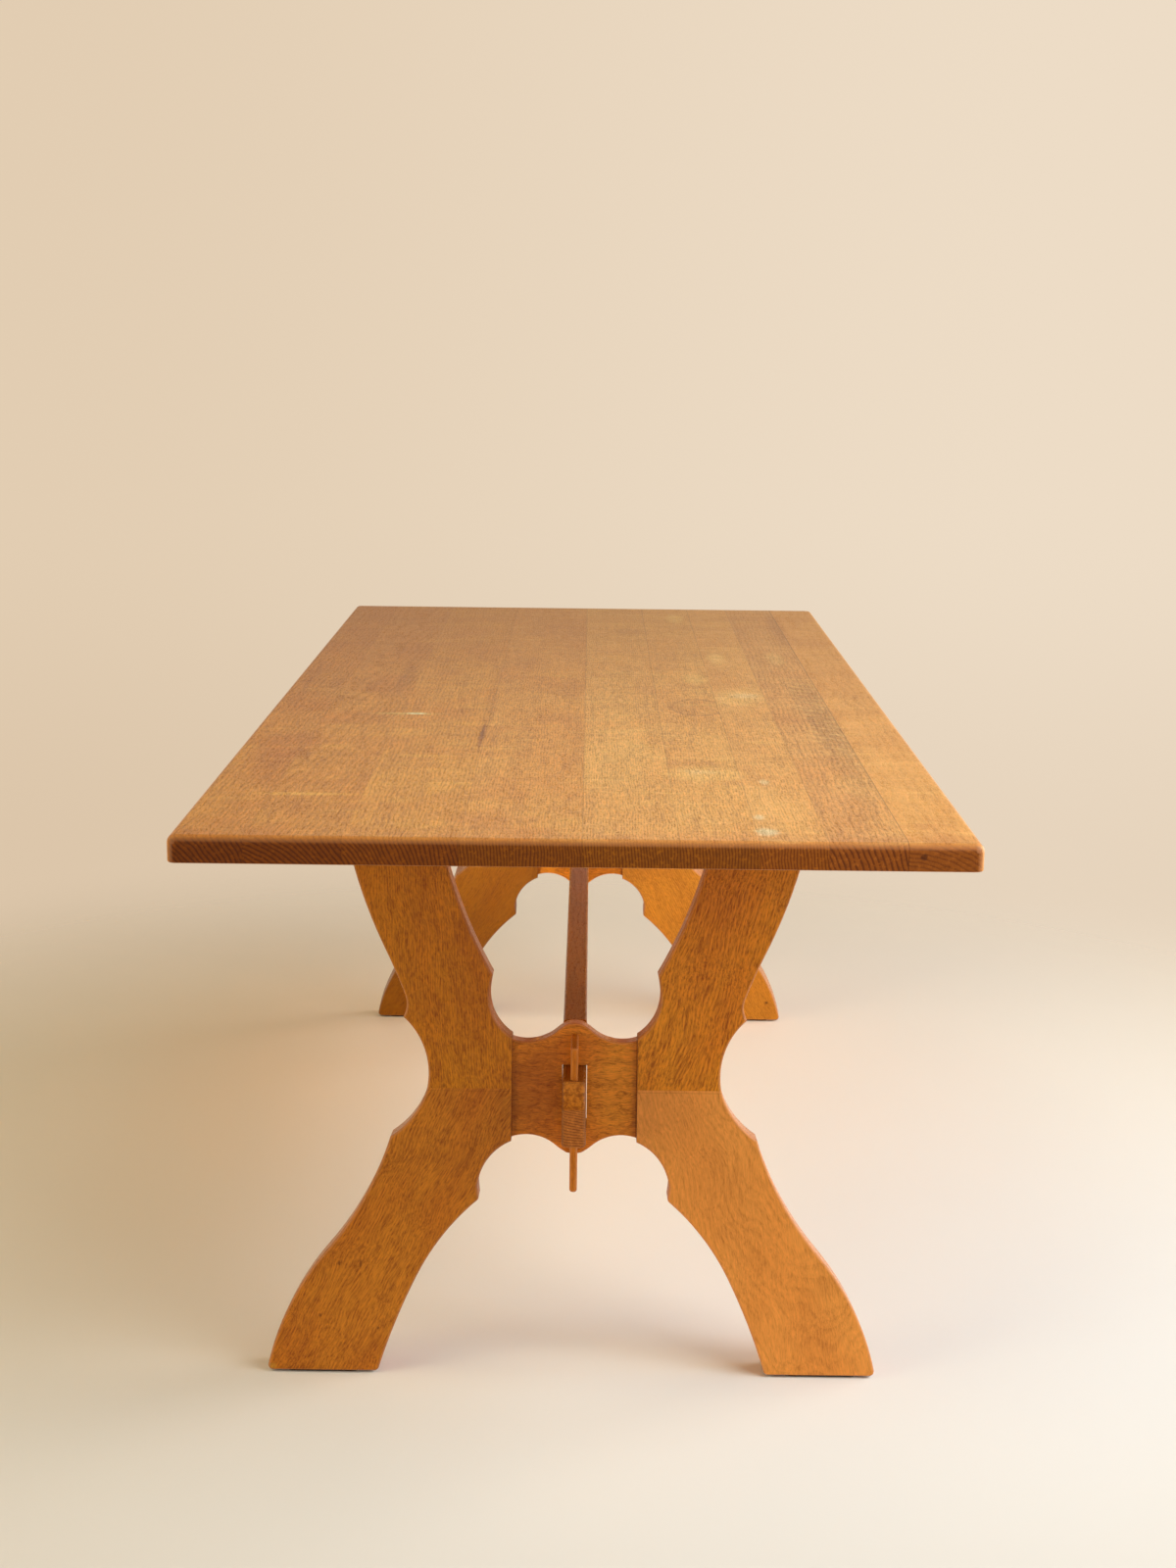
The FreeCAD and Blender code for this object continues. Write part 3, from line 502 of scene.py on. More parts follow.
def close_finish(made, start, colour, roughness, height, height_mm, metallic=0.0):
    """Ends a material with one shader. height goes from 0 to 1 over height_mm millimetres."""
    bump = start.node("ShaderNodeBump", {},
                      {"Strength": 1.0, "Distance": height_mm / 1000, "Height": height})
    shader = start.node("ShaderNodeBsdfPrincipled", {},
                        {"Base Color": colour, "Roughness": roughness, "Metallic": metallic,
                         "Specular IOR Level": SPECULAR, "Normal": bump})
    output = made.node_tree.nodes.new("ShaderNodeOutputMaterial")
    made.node_tree.links.new(shader.socket, output.inputs["Surface"])
    return made


def face_to(start, way):
    """How squarely a face looks along a direction, from 0 to 1, on either side."""
    return abs(start.vector("DOT_PRODUCT", surface_way(start), tuple(way), output="Value"))


def edge_of(start):
    """Where the surface is rounded over between two faces: 0 on a face that looks along one axis
    and 1 halfway between two. It is x y + y z + z x of the normal's parts, stretched."""
    x, y, z = [abs(v) for v in axes(surface_way(start))]
    return ramp(x * y + y * z + z * x, 0.17, 0.48)


print("a finish has one shader, with a specular level of", SPECULAR)

# %% The sides and the ends of a piece
# How far each mark takes the wood towards its dark colour, and what is taken off again so that
# the wood as a whole keeps its own.
BAND_DEPTH, BROAD_DEPTH, STREAK_DEPTH, CLOUD_DEPTH, PORE_DEPTH = 0.20, 0.9, 2.2, 0.8, 0.34
MIDDLE_DEPTH = 0.09
CLOUD = (55, 150, 55)               # millimetres across, along and through
WARM_PATCH = (80, 210, 80)
SAW_MARK = (5.0, 5.0, 5.0)
REDDER = (0.92, 0.80, 0.66)


def side_wood(straight_mm, figure, light, contrast, ray_share, seed):
    """The colour of faces that lie along the grain."""
    dark_band, pores, rays, broad, streak = figure
    dark = shade_of(light, 0.55, 0.42, 0.26)
    pale = shade_of(light, 1.28, 1.26, 1.34)
    cloud = noise(straight_mm, CLOUD, 3.0, 0.6, seed + 31.0)
    depth = dark_band * (BAND_DEPTH * contrast) + (broad - 0.5) * (BROAD_DEPTH * contrast)
    depth = depth + (streak - 0.5) * (STREAK_DEPTH * contrast) + (cloud - 0.5) * CLOUD_DEPTH
    depth = depth + pores * (PORE_DEPTH * contrast) - MIDDLE_DEPTH * contrast
    colour = mix(light, dark, within(depth))
    colour = mix(colour, pale, within(depth * -1.5))
    colour = mix(colour, pale, rays * ray_share)
    warmth = noise(straight_mm, WARM_PATCH, 2.0, 0.5, seed + 51.0)
    return stain(colour, REDDER, ramp(warmth, 0.36, 0.72) * min(1.0, 0.6 * contrast))


def end_wood(straight_mm, dark_band, light, contrast, seed):
    """The colour of sawn ends: the rings, roughened by the saw into paler and darker specks."""
    dark = shade_of(light, 0.44, 0.38, 0.32)
    pale = shade_of(light, 1.8, 2.0, 2.4)
    saw = noise(straight_mm, SAW_MARK, 3.0, 0.7, seed + 61.0)
    colour = mix(light, dark, ramp(dark_band, 0.2, 0.9) * min(0.9, 0.85 * contrast))
    colour = mix(colour, pale, ramp(saw, 0.52, 0.72) * 0.5)
    return mix(colour, dark, ramp(saw, 0.48, 0.30) * 0.5)


print("oak's sides and ends ready")

# %% One oak finish
DRANK_MORE = (0.80, 0.68, 0.84)


def oak(name, centre, turn, heart, light, lean=STRAIGHT, ring=2.6, bend=(60, 2.0), seed=0.0,
        contrast=1.0, end_shade=(0.46, 0.36, 0.26), ray_share=0.2, gloss=0.36, fine=1.0,
        wear_and_painted_light=0.35, sawn=False, marks=None):
    """One piece's oak. light is the colour of its late wood, bend the size and height of the
    grain's sway, and wear_and_painted_light how far its rounded edges are worn pale and given a
    painted highlight. sawn is for a piece whose outline was sawn across the grain, which drank
    more oil. marks, if given, is a function that takes the start, the colour, the roughness and
    the height and gives them back with stains, scratches and painted shade."""
    made, start = new_finish(name)
    straight_mm = wood_frame(start, centre, turn)
    frame_mm = sway(straight_mm, *bend, seed)
    figure = oak_figure(frame_mm, heart, lean, ring, seed, fine)
    dark_band, pores, rays, broad, streak = figure
    endwise = ramp(face_to(start, grain_way(turn)), 0.45, 0.92)
    edge = edge_of(start)
    colour = mix(side_wood(straight_mm, figure, light, contrast, ray_share, seed),
                 end_wood(straight_mm, dark_band, shade_of(light, *end_shade), contrast, seed),
                 endwise)
    if sawn:
        colour = stain(colour, DRANK_MORE, ramp(face_to(start, (0, 1, 0)), 0.75, 0.35))
    # Rounded edges get a pale pinkish colour: partly worn wood, partly a painted highlight.
    rubbed_and_highlight = (light[0] * 0.98, light[0] * 0.40, light[0] * 0.15, 1.0)
    colour = mix(colour, rubbed_and_highlight, edge * wear_and_painted_light)
    height = 1 - pores * 0.55 - dark_band * 0.18 + (streak - 0.5) * 0.5
    rough = gloss + pores * 0.16 - rays * 0.06 + endwise * 0.10 - edge * 0.10
    if marks:
        colour, rough, height = marks(start, colour, rough, height)
    return close_finish(made, start, colour, rough, height, 0.22)


def dress(node, finish):
    """Gives a carried-over solid its finish."""
    thing = nodes[node]
    if not thing.material_slots:
        thing.data.materials.append(finish)
    for slot in thing.material_slots:
        slot.material = finish


def middle(node):
    """The middle of a solid's box, in metres."""
    low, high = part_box(node)
    return tuple((low + high) / 2)


print("oak finish ready")

# %% [markdown]
# ## Marks of use
#
# A table that has been eaten at for years carries a ring from a wet cup, rubbed pale patches,
# scratches and small stains. They could be painted as a picture and laid over the top, but a
# picture blurs when it is looked at closely. Here each is a soft ellipse on a face, given as its
# middle and its two half sizes in millimetres, how ragged its outline is, its paint and its
# strength.

# %% Paints and spots
# Each paint is what it multiplies the wood's red, green and blue by.
PALE = (1.18, 1.44, 1.85)
WHITE = (1.10, 1.75, 4.2)
DARK = (0.52, 0.40, 0.33)
RED = (0.80, 0.62, 0.55)
GREY = (0.64, 0.62, 0.60)
INK = (0.30, 0.24, 0.20)


def ellipse(a, b, fray, spot):
    """How far a place (a, b) is from the middle of a spot, 1 on its outline, with fray added."""
    x, y, across, along, ragged = spot[:5]
    da = (a - x) / across
    db = (b - y) / along
    return root(da * da + db * db) + fray * ragged


def spots(colour, a, b, fray, list_of_spots):
    """Lays soft spots of paint over a colour. Each spot is (x, y, half width, half length,
    ragged, paint, strength)."""
    for spot in list_of_spots:
        paint, strength = spot[5:]
        mask = ramp(ellipse(a, b, fray, spot), 1.25, 0.4)
        colour = stain(colour, paint, mask * strength)
    return colour


print("six paints, the palest", WHITE, "and the darkest", INK)

# %% [markdown]
# ## The top
#
# Nine boards are glued edge to edge, and no two are alike: some were cut near the heart and show
# flames, most show straight grain, and each took the oil a little differently. One wood over the
# whole top would be less work, but it would look like one slab. So the list gives for each board
# its tint and where the heart of its tree lies, in millimetres across and below, and the ends of
# the boards show the same rings as arcs or slanting lines.

# %% Nine boards and eight glue lines
TOP_COLOUR = shade_of(srgb(205, 150, 92), 1.155, 1.045, 0.66)
# The ends' tints grow lighter from the left board to the right: painted light on the top's end
# face.
BOARDS = {
    # number: (tint, heart, ring width, contrast, lean of the heart, tint of the end)
    1: ((0.84, 0.74, 0.38), (-70, -60), 4.8, 1.2, (0.04, 0.02), (0.36, 0.195, 0.014)),
    2: ((0.87, 0.79, 0.42), (-40, -85), 4.8, 1.2, (0.05, 0.02), (0.38, 0.205, 0.014)),
    3: ((0.94, 0.90, 0.53), (-120, -55), 4.4, 1.2, STRAIGHT, (0.40, 0.215, 0.016)),
    4: ((0.98, 0.96, 0.72), (-260, -20), 3.4, 1.2, STRAIGHT, (0.43, 0.25, 0.02)),
    5: ((1.06, 1.14, 1.08), (-260, -15), 3.2, 1.2, STRAIGHT, (0.44, 0.25, 0.022)),
    6: ((1.08, 1.17, 1.14), (-240, -20), 3.4, 1.2, STRAIGHT, (0.45, 0.25, 0.03)),
    7: ((1.10, 1.18, 1.22), (220, 30), 3.4, 1.0, STRAIGHT, (0.49, 0.26, 0.045)),
    8: ((0.99, 1.02, 1.08), (-130, -55), 6.0, 1.2, (0.01, 0.0), (0.52, 0.28, 0.08)),
    9: ((1.07, 1.07, 1.02), (-60, -170), 5.0, 0.6, STRAIGHT, (0.49, 0.28, 0.10)),
}
# Where each glue line is, in millimetres across the top, and how dark it has become.
SEAMS = {-352: 0.20, -247: 0.15, -124: 0.35, 7: 0.5, 110: 0.5, 195: 0.55, 268: 0.35, 352: 1.0}


def seam_dark(x_mm, low, high):
    """Dark glue lines along a board's two edges, as strong as SEAMS says."""
    lines = None
    for seam, strength in SEAMS.items():
        if low - 2 < seam < high + 2:
            line = ramp(abs(x_mm - seam), 1.1, 0.2) * strength
            lines = line if lines is None else lines + line
    return lines


print(len(BOARDS), "boards and", len(SEAMS), "glue lines")

# %% Spots, a cup's ring and plane marks
TOP_SPOTS = [
    # x, y, half width, half length, ragged, paint, strength
    (-409, 80, 8, 150, 0.5, DARK, 0.25),
    (-372, -450, 42, 130, 1.2, RED, 0.45),
    (-308, -735, 70, 9, 1.0, PALE, 1.00),
    (-266, 100, 13, 200, 0.8, DARK, 0.30),
    (-240, -208, 56, 7, 1.0, WHITE, 0.75),
    (-226, -204, 14, 10, 0.8, WHITE, 0.95),
    (-193, -505, 40, 10, 0.9, PALE, 0.70),
    (-128, -365, 3.4, 115, 0.8, DARK, 0.90),
    (-127, -350, 5.5, 55, 1.0, DARK, 0.50),
    (-123, -150, 6, 170, 0.9, DARK, 0.25),
    (-100, -858, 36, 58, 1.0, RED, 0.45),
    (-78, 275, 30, 52, 0.7, DARK, 0.18),
    (-20, -232, 34, 34, 1.2, DARK, 0.25),
    (77, 635, 30, 55, 0.8, DARK, 0.18),
    (50, -560, 45, 260, 1.2, PALE, 0.20),
    (152, -593, 50, 48, 1.0, PALE, 1.00),
    (148, -585, 26, 16, 1.3, WHITE, 0.18),
    (175, 120, 20, 60, 1.0, PALE, 0.80),
    (169, 809, 16, 60, 1.0, PALE, 0.80),
    (230, -45, 38, 66, 1.0, PALE, 1.00),
    (240, -30, 26, 22, 1.3, WHITE, 0.22),
    (222, -640, 7, 16, 0.8, WHITE, 0.75),
    (205, -900, 14, 20, 1.4, WHITE, 0.95),
    (202, -829, 7, 14, 0.8, WHITE, 0.60),
    (218, 331, 16, 60, 1.0, PALE, 0.80),
    (314, 338, 16, 70, 1.0, PALE, 0.80),
    (335, -350, 22, 420, 1.0, GREY, 0.45),
    (300, -800, 40, 130, 1.2, RED, 0.35),
    (347, 700, 16, 200, 1.0, DARK, 0.30),
    (392, -880, 26, 60, 1.2, RED, 0.30),
]
CUP_RING = (166, -132, 36, 67, 0.35)        # a spot's first five numbers
KNOT = (368, 716, 4.5, 4.0, 0.5)            # the same, but x across and z up, on the ends
CHATTER_X, CHATTER_Y = 310, -170
CHATTER_APART = 34


def cup_ring(colour, x_mm, y_mm, fray):
    """The ring of a wet cup, dark along its rim and a little darker inside."""
    away = ellipse(x_mm, y_mm, fray, CUP_RING)
    rim = ramp(abs(away - 1.0), 0.12, 0.03)
    return stain(colour, DARK, rim * 0.42 + ramp(away, 1.05, 0.85) * 0.12)


def chatter(colour, x_mm, y_mm, fray):
    """Pale marks that a blunt plane left slanting across a board, on wood that it left grey."""
    line = ramp(part(y_mm / CHATTER_APART + x_mm / 45 + fray * 1.1), 0.62, 0.92) * 0.8
    there = ramp(x_mm, 296, 318) * ramp(abs(y_mm - CHATTER_Y), 330, 200)
    return stain(stain(colour, GREY, there * 0.22), PALE, line * there)


print(len(TOP_SPOTS), "spots, a cup's ring and plane marks", CHATTER_APART, "mm apart")

# %% Wear and painted shade over the whole top
TOP_END = 950                       # millimetres from the middle of the top to its ends
CALMER = 0.6                        # how much calmer the figure is at the far end
TIDE, TIDE_PAINT = (230, 75, 16), (0.90, 0.84, 0.70)
SMEAR = (110, 22, 16)
SCRATCH = (30, 4.5, 16)
FAR_PAINTED_SHADE = (0.62, 0.50, 0.25)


def daily_wear(colour, mm):
    """Wide tide marks, pale smears where a cloth goes to and fro, and short scratches."""
    tide = ramp(noise(mm, TIDE, 3.0, 0.55, 5.5), 0.42, 0.62)
    smear = ramp(noise(mm, SMEAR, 3.0, 0.6, 7.7), 0.53, 0.70)
    scratch = ramp(noise(mm, SCRATCH, 2.0, 0.6, 3.1), 0.52, 0.72)
    colour = stain(colour, TIDE_PAINT, tide * 0.50)
    return stain(colour, PALE, smear * 0.38 + scratch * 0.42)


def painted_shade_and_red_end(colour, x_mm, y_mm):
    """Painted shade, deeper towards the far end and most so on the left, and the redder near end.
    """
    # painted shade: darker towards the far end and the left
    far = ramp(y_mm, -TOP_END, TOP_END) * (0.66 - 0.26 * ramp(x_mm, 50, 400))
    colour = stain(colour, FAR_PAINTED_SHADE, far)
    return stain(colour, RED, ramp(y_mm, -880, -945) * 0.45)


def top_marks(low, high, plain_wood):
    """The marks on the board between two edges. Wear and painted shade are on its upper face only.
    The far half has been scrubbed more often, so its figure is calmer."""
    def marks(start, colour, rough, height):
        mm = surface_mm(start)
        x_mm, y_mm, z_mm = axes(mm)
        fray = noise(mm, (60, 12, 16), 3.0, 0.65) - 0.5
        up = ramp(axes(surface_way(start))[2], 0.5, 0.9)
        wear_and_painted_light = mix(colour, plain_wood, ramp(y_mm, -250, 900) * CALMER)
        if low < CUP_RING[0] < high:
            wear_and_painted_light = cup_ring(wear_and_painted_light, x_mm, y_mm, fray)
        if low < CHATTER_X < high:
            wear_and_painted_light = chatter(wear_and_painted_light, x_mm, y_mm, fray)
        here = [spot for spot in TOP_SPOTS if low - spot[2] < spot[0] < high + spot[2]]
        wear_and_painted_light = spots(wear_and_painted_light, x_mm, y_mm, fray, here)
        # wear, then painted shade deeper towards the far end and the left
        wear_and_painted_light = painted_shade_and_red_end(daily_wear(wear_and_painted_light, mm), x_mm, y_mm)
        colour = mix(colour, wear_and_painted_light, up)
        if low < KNOT[0] < high:
            knot = ramp(ellipse(x_mm, z_mm, fray, KNOT), 1.2, 0.5)
            colour = stain(colour, INK, knot * (1 - up) * 0.8)
        seam = seam_dark(x_mm, low, high)
        return stain(colour, INK, seam * 0.55), rough, height - seam * 0.8
    return marks


for number, (tint, heart, ring, contrast, lean, end_tint_and_painted_light) in BOARDS.items():
    node = f"top_board_{number}"
    low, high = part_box(node)
    left_mm, right_mm = low.x * 1000, high.x * 1000
    wood = shade_of(TOP_COLOUR, *tint)
    dress(node, oak(f"oak_board_{number}", middle(node), FLAT, heart, wood, lean, ring,
                    seed=number * 3.7, contrast=contrast, end_shade=end_tint_and_painted_light, ray_share=0.40,
                    gloss=0.42, fine=1.1, marks=top_marks(left_mm, right_mm, wood)))
    print(node, "from", round(left_mm), "to", round(right_mm), "mm")

# %% [markdown]
# ## The trestles
#
# Each leg and arm is sawn from thick board so that its grain follows it as well as a straight
# board can, and the centre block is cut with its grain across, which ties the two sides together.
# One grain for the whole X would hide how it is made. So each piece has its own lean, heart and
# tint, and the joints show as thin dark lines.

# %% Legs, arms and blocks
TRESTLE_COLOUR = shade_of(srgb(196, 124, 50), 1.33, 1.36, 0.90)
HEART_LEAN = (0.03, 0.02)           # how far the tree's heart leans in each piece
BLOCK_EDGE = 76                     # millimetres from the middle of the table
WAIST_UP = 347                      # millimetres over the floor
# The tints are partly each piece's own tone and partly painted light and shade: the rear arms are
# made lighter, and the rear left leg and the front trestle's left-hand pieces darker.
CUTS = {
    # piece: (grain's lean, heart, ring width, contrast, tint, bend, fine)
    "front_left_leg": (24, (-190, 30), 3.4, 1.6, (0.65, 0.58, 0.24), (50, 4.5), 1.0),
    "front_right_leg": (-10, (60, -200), 4.0, 0.7, (0.97, 0.97, 1.45), (60, 6.0), 1.0),
    "front_left_arm": (-6, (150, 40), 3.0, 1.5, (0.70, 0.65, 0.08), (60, 3.0), 1.0),
    "front_right_arm": (13, (-210, 20), 4.6, 1.8, (0.82, 0.77, 0.22), (60, 5.0), 1.0),
    "front_centre_block": (90, (30, -160), 3.4, 1.3, (0.89, 0.77, 0.34), (14, 2.2), 0.8),
    "rear_left_leg": (30, (-150, 40), 3.4, 1.0, (0.42, 0.38, 0.06), (60, 4.0), 1.0),
    "rear_right_leg": (-28, (160, 40), 3.6, 0.9, (0.81, 0.82, 0.55), (60, 4.0), 1.0),
    "rear_left_arm": (-14, (170, 30), 3.4, 0.9, (0.95, 1.02, 0.50), (60, 4.0), 1.0),
    "rear_right_arm": (14, (-170, 30), 3.4, 0.9, (1.10, 1.20, 1.60), (60, 4.0), 1.0),
    "rear_centre_block": (90, (40, -140), 3.4, 1.3, (0.95, 0.86, 0.38), (14, 1.8), 0.8),
}
LEG_SPOTS = {
    # piece: spots as for the top, but x across and z up
    "front_left_leg": [(-285, 135, 2.0, 3.0, 0.5, INK, 0.8), (-259, 135, 2.0, 6.0, 0.5, INK, 0.8),
                       (-308, 71, 2.5, 2.5, 0.5, INK, 0.7), (-237, 56, 2.0, 2.5, 0.5, INK, 0.7),
                       (-366, 8, 5.0, 4.0, 0.8, WHITE, 0.6)],
    # On the front block: a painted shadow of the tenon and wedge on the left half, and a painted
    # patch of light on the right half.
    "front_centre_block": [(-48, 350, 44, 76, 1.0, DARK, 0.55),
                           (52, 350, 36, 66, 1.0, PALE, 0.65)],
    "front_left_arm": [(-159, 353, 2.5, 2.5, 0.5, INK, 0.6)],
    "rear_left_leg": [(-342, 77, 9.0, 1.6, 0.8, PALE, 0.6), (-338, 22, 7.0, 1.6, 0.8, PALE, 0.5)],
    "rear_right_leg": [(346, 38, 3.2, 3.2, 0.2, INK, 0.9)],
}


def standing(degrees):
    """The turn of a piece whose grain stands in the trestle and leans right by some degrees."""
    return (math.radians(90), math.radians(degrees), 0.0)


def trestle_marks(node):
    """The spots of one leg, arm or block, among them the painted shadow and painted light on the
    front block, the dark lines at the joints beside the block, the right one stronger with painted
    shade, and the line across the waist, where an arm stands on a leg."""
    def marks(start, colour, rough, height):
        mm = surface_mm(start)
        x_mm, y_mm, z_mm = axes(mm)
        fray = noise(mm, (5, 5, 5), 2.0, 0.6) - 0.5
        colour = spots(colour, x_mm, z_mm, fray, LEG_SPOTS.get(node, []))
        # Dark lines at the joints beside the block; the right one is stronger, with painted shade
        # where the proud leg shades the recessed block.
        joint_and_shade = ramp(abs(x_mm - BLOCK_EDGE), 1.3, 0.2) * 0.6
        joint_and_shade = joint_and_shade + ramp(abs(x_mm + BLOCK_EDGE), 1.2, 0.2) * 0.3
        if "block" not in node:
            joint_and_shade = joint_and_shade + ramp(abs(z_mm - WAIST_UP), 1.0, 0.2) * 0.22
        return stain(colour, INK, joint_and_shade), rough, height - joint_and_shade * 0.6
    return marks


for index, (node, cut) in enumerate(CUTS.items()):
    degrees, heart, ring, contrast, tint, bend, fine = cut
    dress(node, oak(f"oak_{node}", middle(node), standing(degrees), heart,
                    shade_of(TRESTLE_COLOUR, *tint), HEART_LEAN, ring, bend, 40 + index * 4.1,
                    contrast, ray_share=0.34, gloss=0.38, fine=fine, wear_and_painted_light=0.5, sawn=True,
                    marks=trestle_marks(node)))
print(len(CUTS), "trestle pieces dressed")

# %% [markdown]
# ## The rail and the bearers
#
# The rail is one deep board of darker oak, so it takes the same recipe with a darker colour, but
# its ends are paler than its sides. The hollow over each of them was cut with a gouge and never
# smoothed. Cutting every flake into the mesh would need thousands of faces, so the torn wood is
# colour and height only, laid where the surface slopes up and out at once. The bearers lie under
# the top, where nobody looks, and are plain.

# %% The rail and the bearers
RAIL_COLOUR = shade_of(srgb(172, 104, 52), 0.68, 0.64, 0.30)
BEARER_COLOUR = srgb(196, 130, 56)
HOLLOW_PALE, HOLLOW_DARK = srgb(208, 128, 36), srgb(150, 82, 20)
HOLLOW_FROM = (704, 708)            # millimetres from the middle of the table
FLAKE = (6.0, 6.0, 6.0)


def rail_marks(start, colour, rough, height):
    """The gouged hollow over each end of the rail: paler, yellower, and flecked where the wood
    tore."""
    mm = surface_mm(start)
    x, y, z = [abs(v) for v in axes(surface_way(start))]
    hollow = ramp(y * z, 0.12, 0.40) * ramp(abs(axes(mm)[1]), *HOLLOW_FROM)
    torn = noise(mm, FLAKE, 3.0, 0.7)
    colour = mix(colour, mix(HOLLOW_PALE, HOLLOW_DARK, ramp(torn, 0.38, 0.62)), hollow * 0.9)
    return colour, rough + hollow * 0.15, height - torn * hollow


dress("stretcher_rail", oak("oak_rail", middle("stretcher_rail"), FLAT, (60, 220), RAIL_COLOUR,
                            ring=3.2, seed=91.0, end_shade=(1.68, 1.60, 1.75), marks=rail_marks))
for index, end in enumerate(("front", "rear")):
    node = f"{end}_bearer"
    dress(node, oak(f"oak_{node}", middle(node), standing(90), (40, 160), BEARER_COLOUR, ring=3.0,
                    seed=112.0 + index, contrast=0.9, end_shade=(0.5, 0.42, 0.36), gloss=0.5))
print("rail and bearers dressed")

# %% [markdown]
# ## The tusk wedges
#
# A wedge stands through the slot of each tenon and draws the shoulders of the rail tight. It is
# knocked in and out with a mallet, so its edges have been rounded over until its ends are nearly
# half round. A Bevel modifier has no room for that beside the small rounding that the solid
# already has, so the wedge is made anew. Its outline goes round four corners, and each corner is
# an arc about its own middle. Drawing the outline in keeps those middles and only shortens the
# arcs, so the rounding is the same outline drawn ten times, and the two flat sides close it.

# %% Rounded wedges
# Each corner: how far its middle is from the table's middle, its height, the radius of its arc,
# all in mm, and the angle in degrees that its arc starts at.
WEDGE_CORNERS = np.array([(714.6, 242.0, 4.0, -90.0), (703.9, 413.8, 3.0, 0.0),
                          (653.6, 413.8, 3.0, 90.0), (681.2, 242.0, 4.0, 180.0)])
WEDGE_HALF_MM = 4.6
WEDGE_SOFT = 0.96                   # how much of a corner's radius the rounding takes up
WEDGE_COLOUR = shade_of(srgb(190, 112, 40), 1.15, 1.10, 0.40)


def rounded_wedge(side, arc=9, rows=5):
    """A closed wedge at the table's end on that side of y. At tilt t the surface is h - r + r
    sin t from the wedge's middle plane, h being half its thickness, and the arcs of its corners
    are shorter by r (1 - cos t), where r is WEDGE_SOFT of the corner's own radius."""
    out, up, radius, first = WEDGE_CORNERS.T[:, :, None]
    angle = np.radians(first + np.linspace(0, 90, arc))
    tilt = np.radians(np.linspace(0, 90, rows))
    tilt = np.concatenate([-tilt[::-1], tilt])[:, None, None]
    sign = np.repeat([-1, 1], rows)[:, None, None]
    soft = WEDGE_SOFT * radius
    x = sign * (WEDGE_HALF_MM - soft) + soft * np.sin(tilt) + 0 * angle
    reach = radius - soft * (1 - np.cos(tilt))
    y = side * (out + reach * np.cos(angle))
    z = up + reach * np.sin(angle)
    points = np.stack([x, y, z], axis=-1).reshape(-1, 3) / 1000
    around = angle.size
    j = np.arange(around)
    k = (j + 1) % around
    low = around * np.arange(2 * rows - 1)[:, None]
    high = low + around
    quads = np.stack([low + j, low + k, high + k, high + j], axis=-1).reshape(-1, 4)
    ends = np.stack([j[::-1], j + around * (2 * rows - 1)])
    if side < 0:
        quads, ends = quads[:, ::-1], ends[:, ::-1]
    mesh = bpy.data.meshes.new("wedge")
    mesh.from_pydata(points.tolist(), [], quads.tolist() + ends.tolist())
    mesh.shade_smooth()
    return mesh


for end, side in (("front", -1), ("rear", 1)):
    node = f"{end}_tusk_wedge"
    wedge = bpy.data.objects.new(f"{end}_rounded_wedge", rounded_wedge(side))
    scene.collection.objects.link(wedge)
    wedge.data.materials.append(oak(f"oak_{end}_wedge", middle(node), standing(0), (90, 30),
                                    WEDGE_COLOUR, seed=102.5 + side, contrast=0.9,
                                    end_shade=(0.80, 0.74, 0.6)))
    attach(wedge, f"{end}_wedge")
    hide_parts(node)
    print(wedge.name, len(wedge.data.polygons), "faces")

# %% [markdown]
# ## Dowels, screws and washers
#
# Beech dowels pin the trestles together, and steel screws with washers hold the top down. The
# dowels are out of sight in a finished table and the screws show only from below, but all of them
# show when its pieces are looked at one by one. The solids already have their shapes, so each
# kind gets one simple finish of its own.

# %% Beech and steel
def speckled(name, first, second, blotch, detail, gloss, dulled, height_mm, metallic=0.0):
    """A plain finish that goes between two colours in specks of the size blotch, duller by up to
    dulled where the second colour shows."""
    made, start = new_finish(name)
    speck = noise(surface_mm(start), blotch, detail)
    return close_finish(made, start, mix(first, second, speck), gloss + speck * dulled, speck,
                        height_mm, metallic)


beech = speckled("beech_dowel", srgb(205, 170, 125), srgb(170, 128, 84), (1.2, 1.2, 6.0), 2.0,
                 0.55, 0.1, 0.1)
steel = speckled("screw_steel", srgb(150, 146, 140), srgb(108, 102, 94), (0.5, 0.5, 0.5), 3.0,
                 0.32, 0.2, 0.03, 1.0)
for end in ("front", "rear"):
    for kind in ("waist", "bearer", "block"):
        dress(f"{end}_{kind}_dowels", beech)
    for kind in ("screws", "washers"):
        dress(f"{end}_top_{kind}", steel)
print("fasteners dressed in", beech.name, "and", steel.name)

# %% [markdown]
# ## Felt under the feet
#
# A pad of pressed wool keeps each foot off the floor. It is cut with scissors from a thin sheet,
# so its outline is a rectangle with eased corners, and its cut side swells a little between
# the two faces. A bevelled box would come close, but it has no swell. The outline here is a
# squared circle, drawn eleven times on the way from the middle of the lower face round the cut
# side to the middle of the upper one, so the pad is closed all round. Wool stands off the cut side
# in short fibres, which small waves in the outline stand for.

# %% Felt pads
# Each row of the pad's side: its scale, how far it is drawn in (mm) and its share of the height.
PAD_ROWS = np.array([(0.4, 0.0, 0.0), (0.8, 0.0, 0.0), (1.0, 1.4, 0.0), (1.0, 0.6, 0.08),
                     (1.0, 0.25, 0.3), (1.0, 0.15, 0.5), (1.0, 0.25, 0.7), (1.0, 0.6, 0.92),
                     (1.0, 1.4, 1.0), (0.8, 0.0, 1.0), (0.4, 0.0, 1.0)])
SQUARED = 0.2                       # 1 would make the outline an ellipse, and 0 a rectangle
FIBRE_MM, FIBRES, FIBRE_TURN = 0.12, 37, 2.1


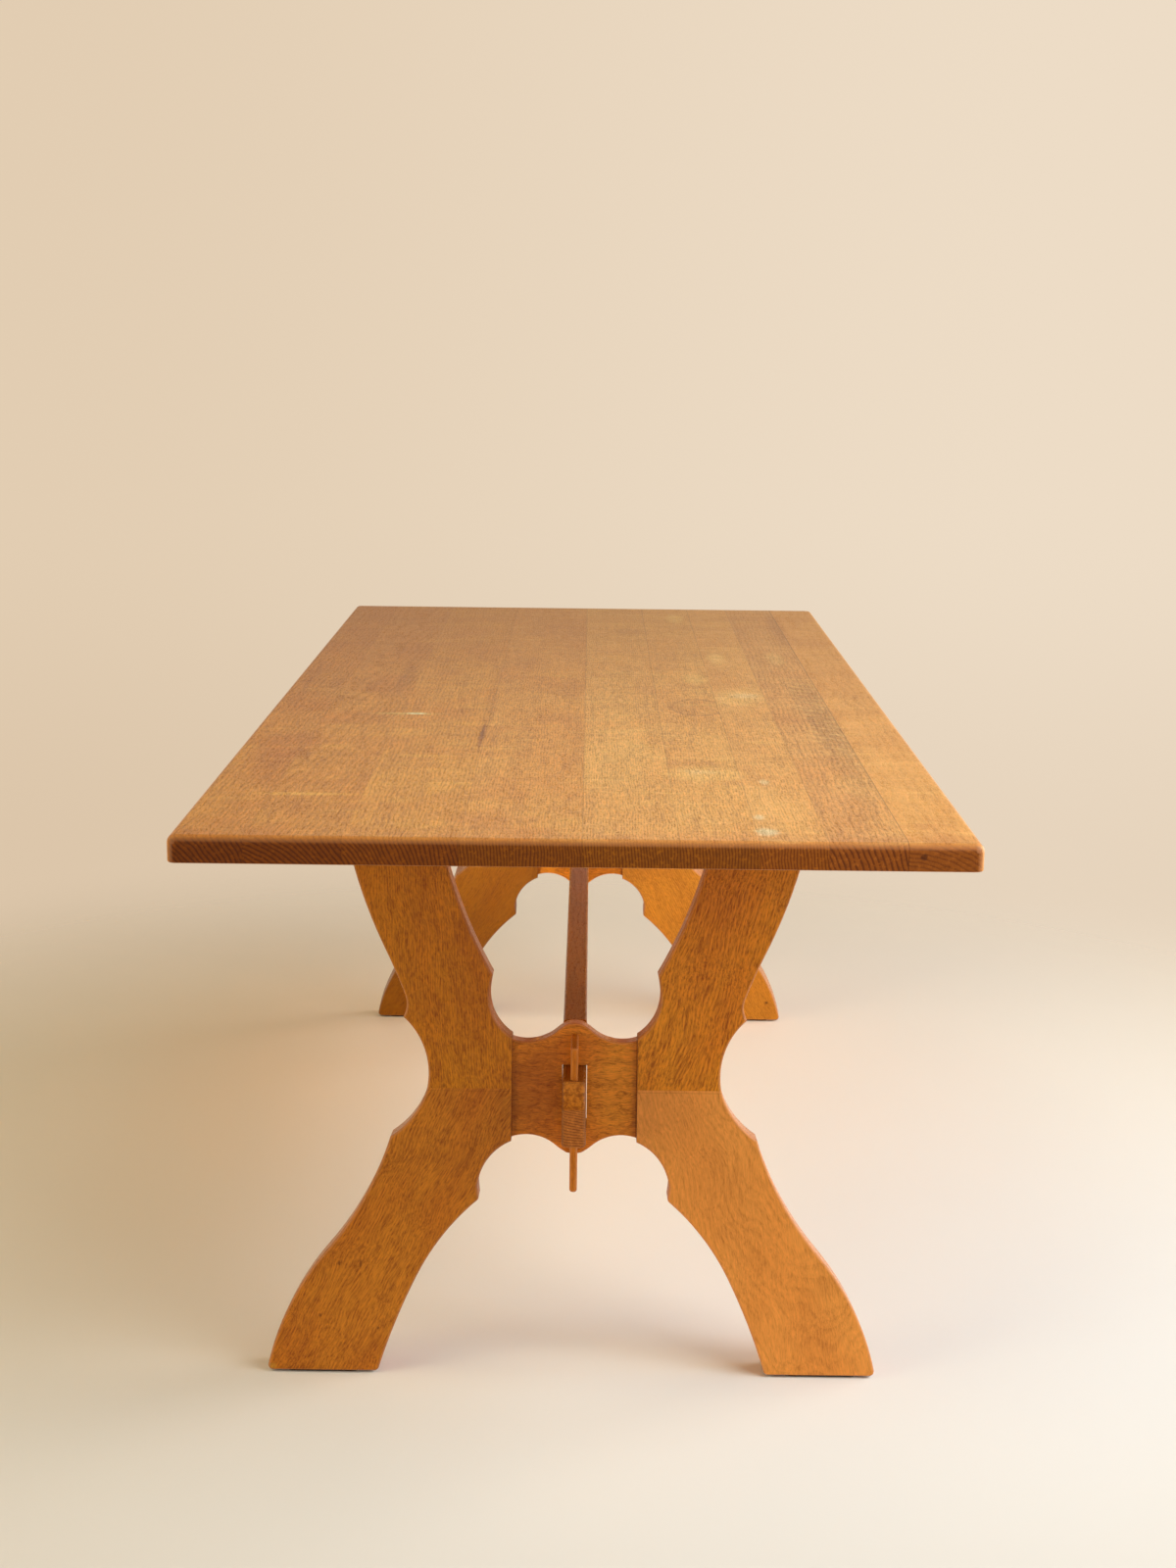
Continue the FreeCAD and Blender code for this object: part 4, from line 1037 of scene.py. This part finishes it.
def felt_pad(low, high, around=120):
    """A pad that fills the box from low to high. Its outline at angle t is half the width times
    |cos t| ** SQUARED and half the length times |sin t| ** SQUARED, signs kept. Row i is that
    outline scaled and drawn in as PAD_ROWS says, and further by the fibres' FIBRE_MM (1 +
    sin(FIBRES t + FIBRE_TURN i))."""
    turn = 2 * np.pi * np.arange(around) / around
    outline = np.stack([np.sign(np.cos(turn)) * np.abs(np.cos(turn)) ** SQUARED,
                        np.sign(np.sin(turn)) * np.abs(np.sin(turn)) ** SQUARED], axis=-1)
    low, high = np.array(low), np.array(high)
    middle_xy, half_xy = (low[:2] + high[:2]) / 2, (high[:2] - low[:2]) / 2
    scale, inset, share = PAD_ROWS.T[:, :, None]
    row = np.arange(len(PAD_ROWS))[:, None]
    fibre = FIBRE_MM * (1 + np.sin(FIBRES * turn + FIBRE_TURN * row)) * (inset > 0)
    size = half_xy * scale[..., None] - (inset + fibre)[..., None] / 1000
    flat = middle_xy + outline * size
    height = (low[2] + share * (high[2] - low[2])) * np.ones_like(turn)
    points = np.dstack([flat, height]).reshape(-1, 3)
    points = np.vstack([[*middle_xy, low[2]], points, [*middle_xy, high[2]]])
    j = np.arange(around)
    k = (j + 1) % around
    here = 1 + around * row[:-1]
    above = here + around
    sides = np.stack([here + j, here + k, above + k, above + j], axis=-1).reshape(-1, 4)
    last = len(points) - 1
    under = np.column_stack([np.zeros_like(j), 1 + k, 1 + j])
    over = np.column_stack([np.full_like(j, last), last - around + j, last - around + k])
    mesh = bpy.data.meshes.new("felt_pad")
    mesh.from_pydata(points.tolist(), [], under.tolist() + sides.tolist() + over.tolist())
    mesh.shade_smooth()
    return mesh


felt, start = new_finish("brown_felt")
fluff = noise(surface_mm(start), (0.8, 0.8, 0.8), 3.0, 0.7)
close_finish(felt, start, mix(srgb(58, 44, 34), srgb(34, 25, 19), fluff), 0.95, fluff, 0.3)
for end in ("front", "rear"):
    for side in ("left", "right"):
        node = f"{end}_{side}_felt_pad"
        pad = bpy.data.objects.new(f"{end}_{side}_felt", felt_pad(*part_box(node)))
        scene.collection.objects.link(pad)
        pad.data.materials.append(felt)
        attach(pad, "table")
        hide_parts(node)
        print(pad.name, len(pad.data.polygons), "faces")
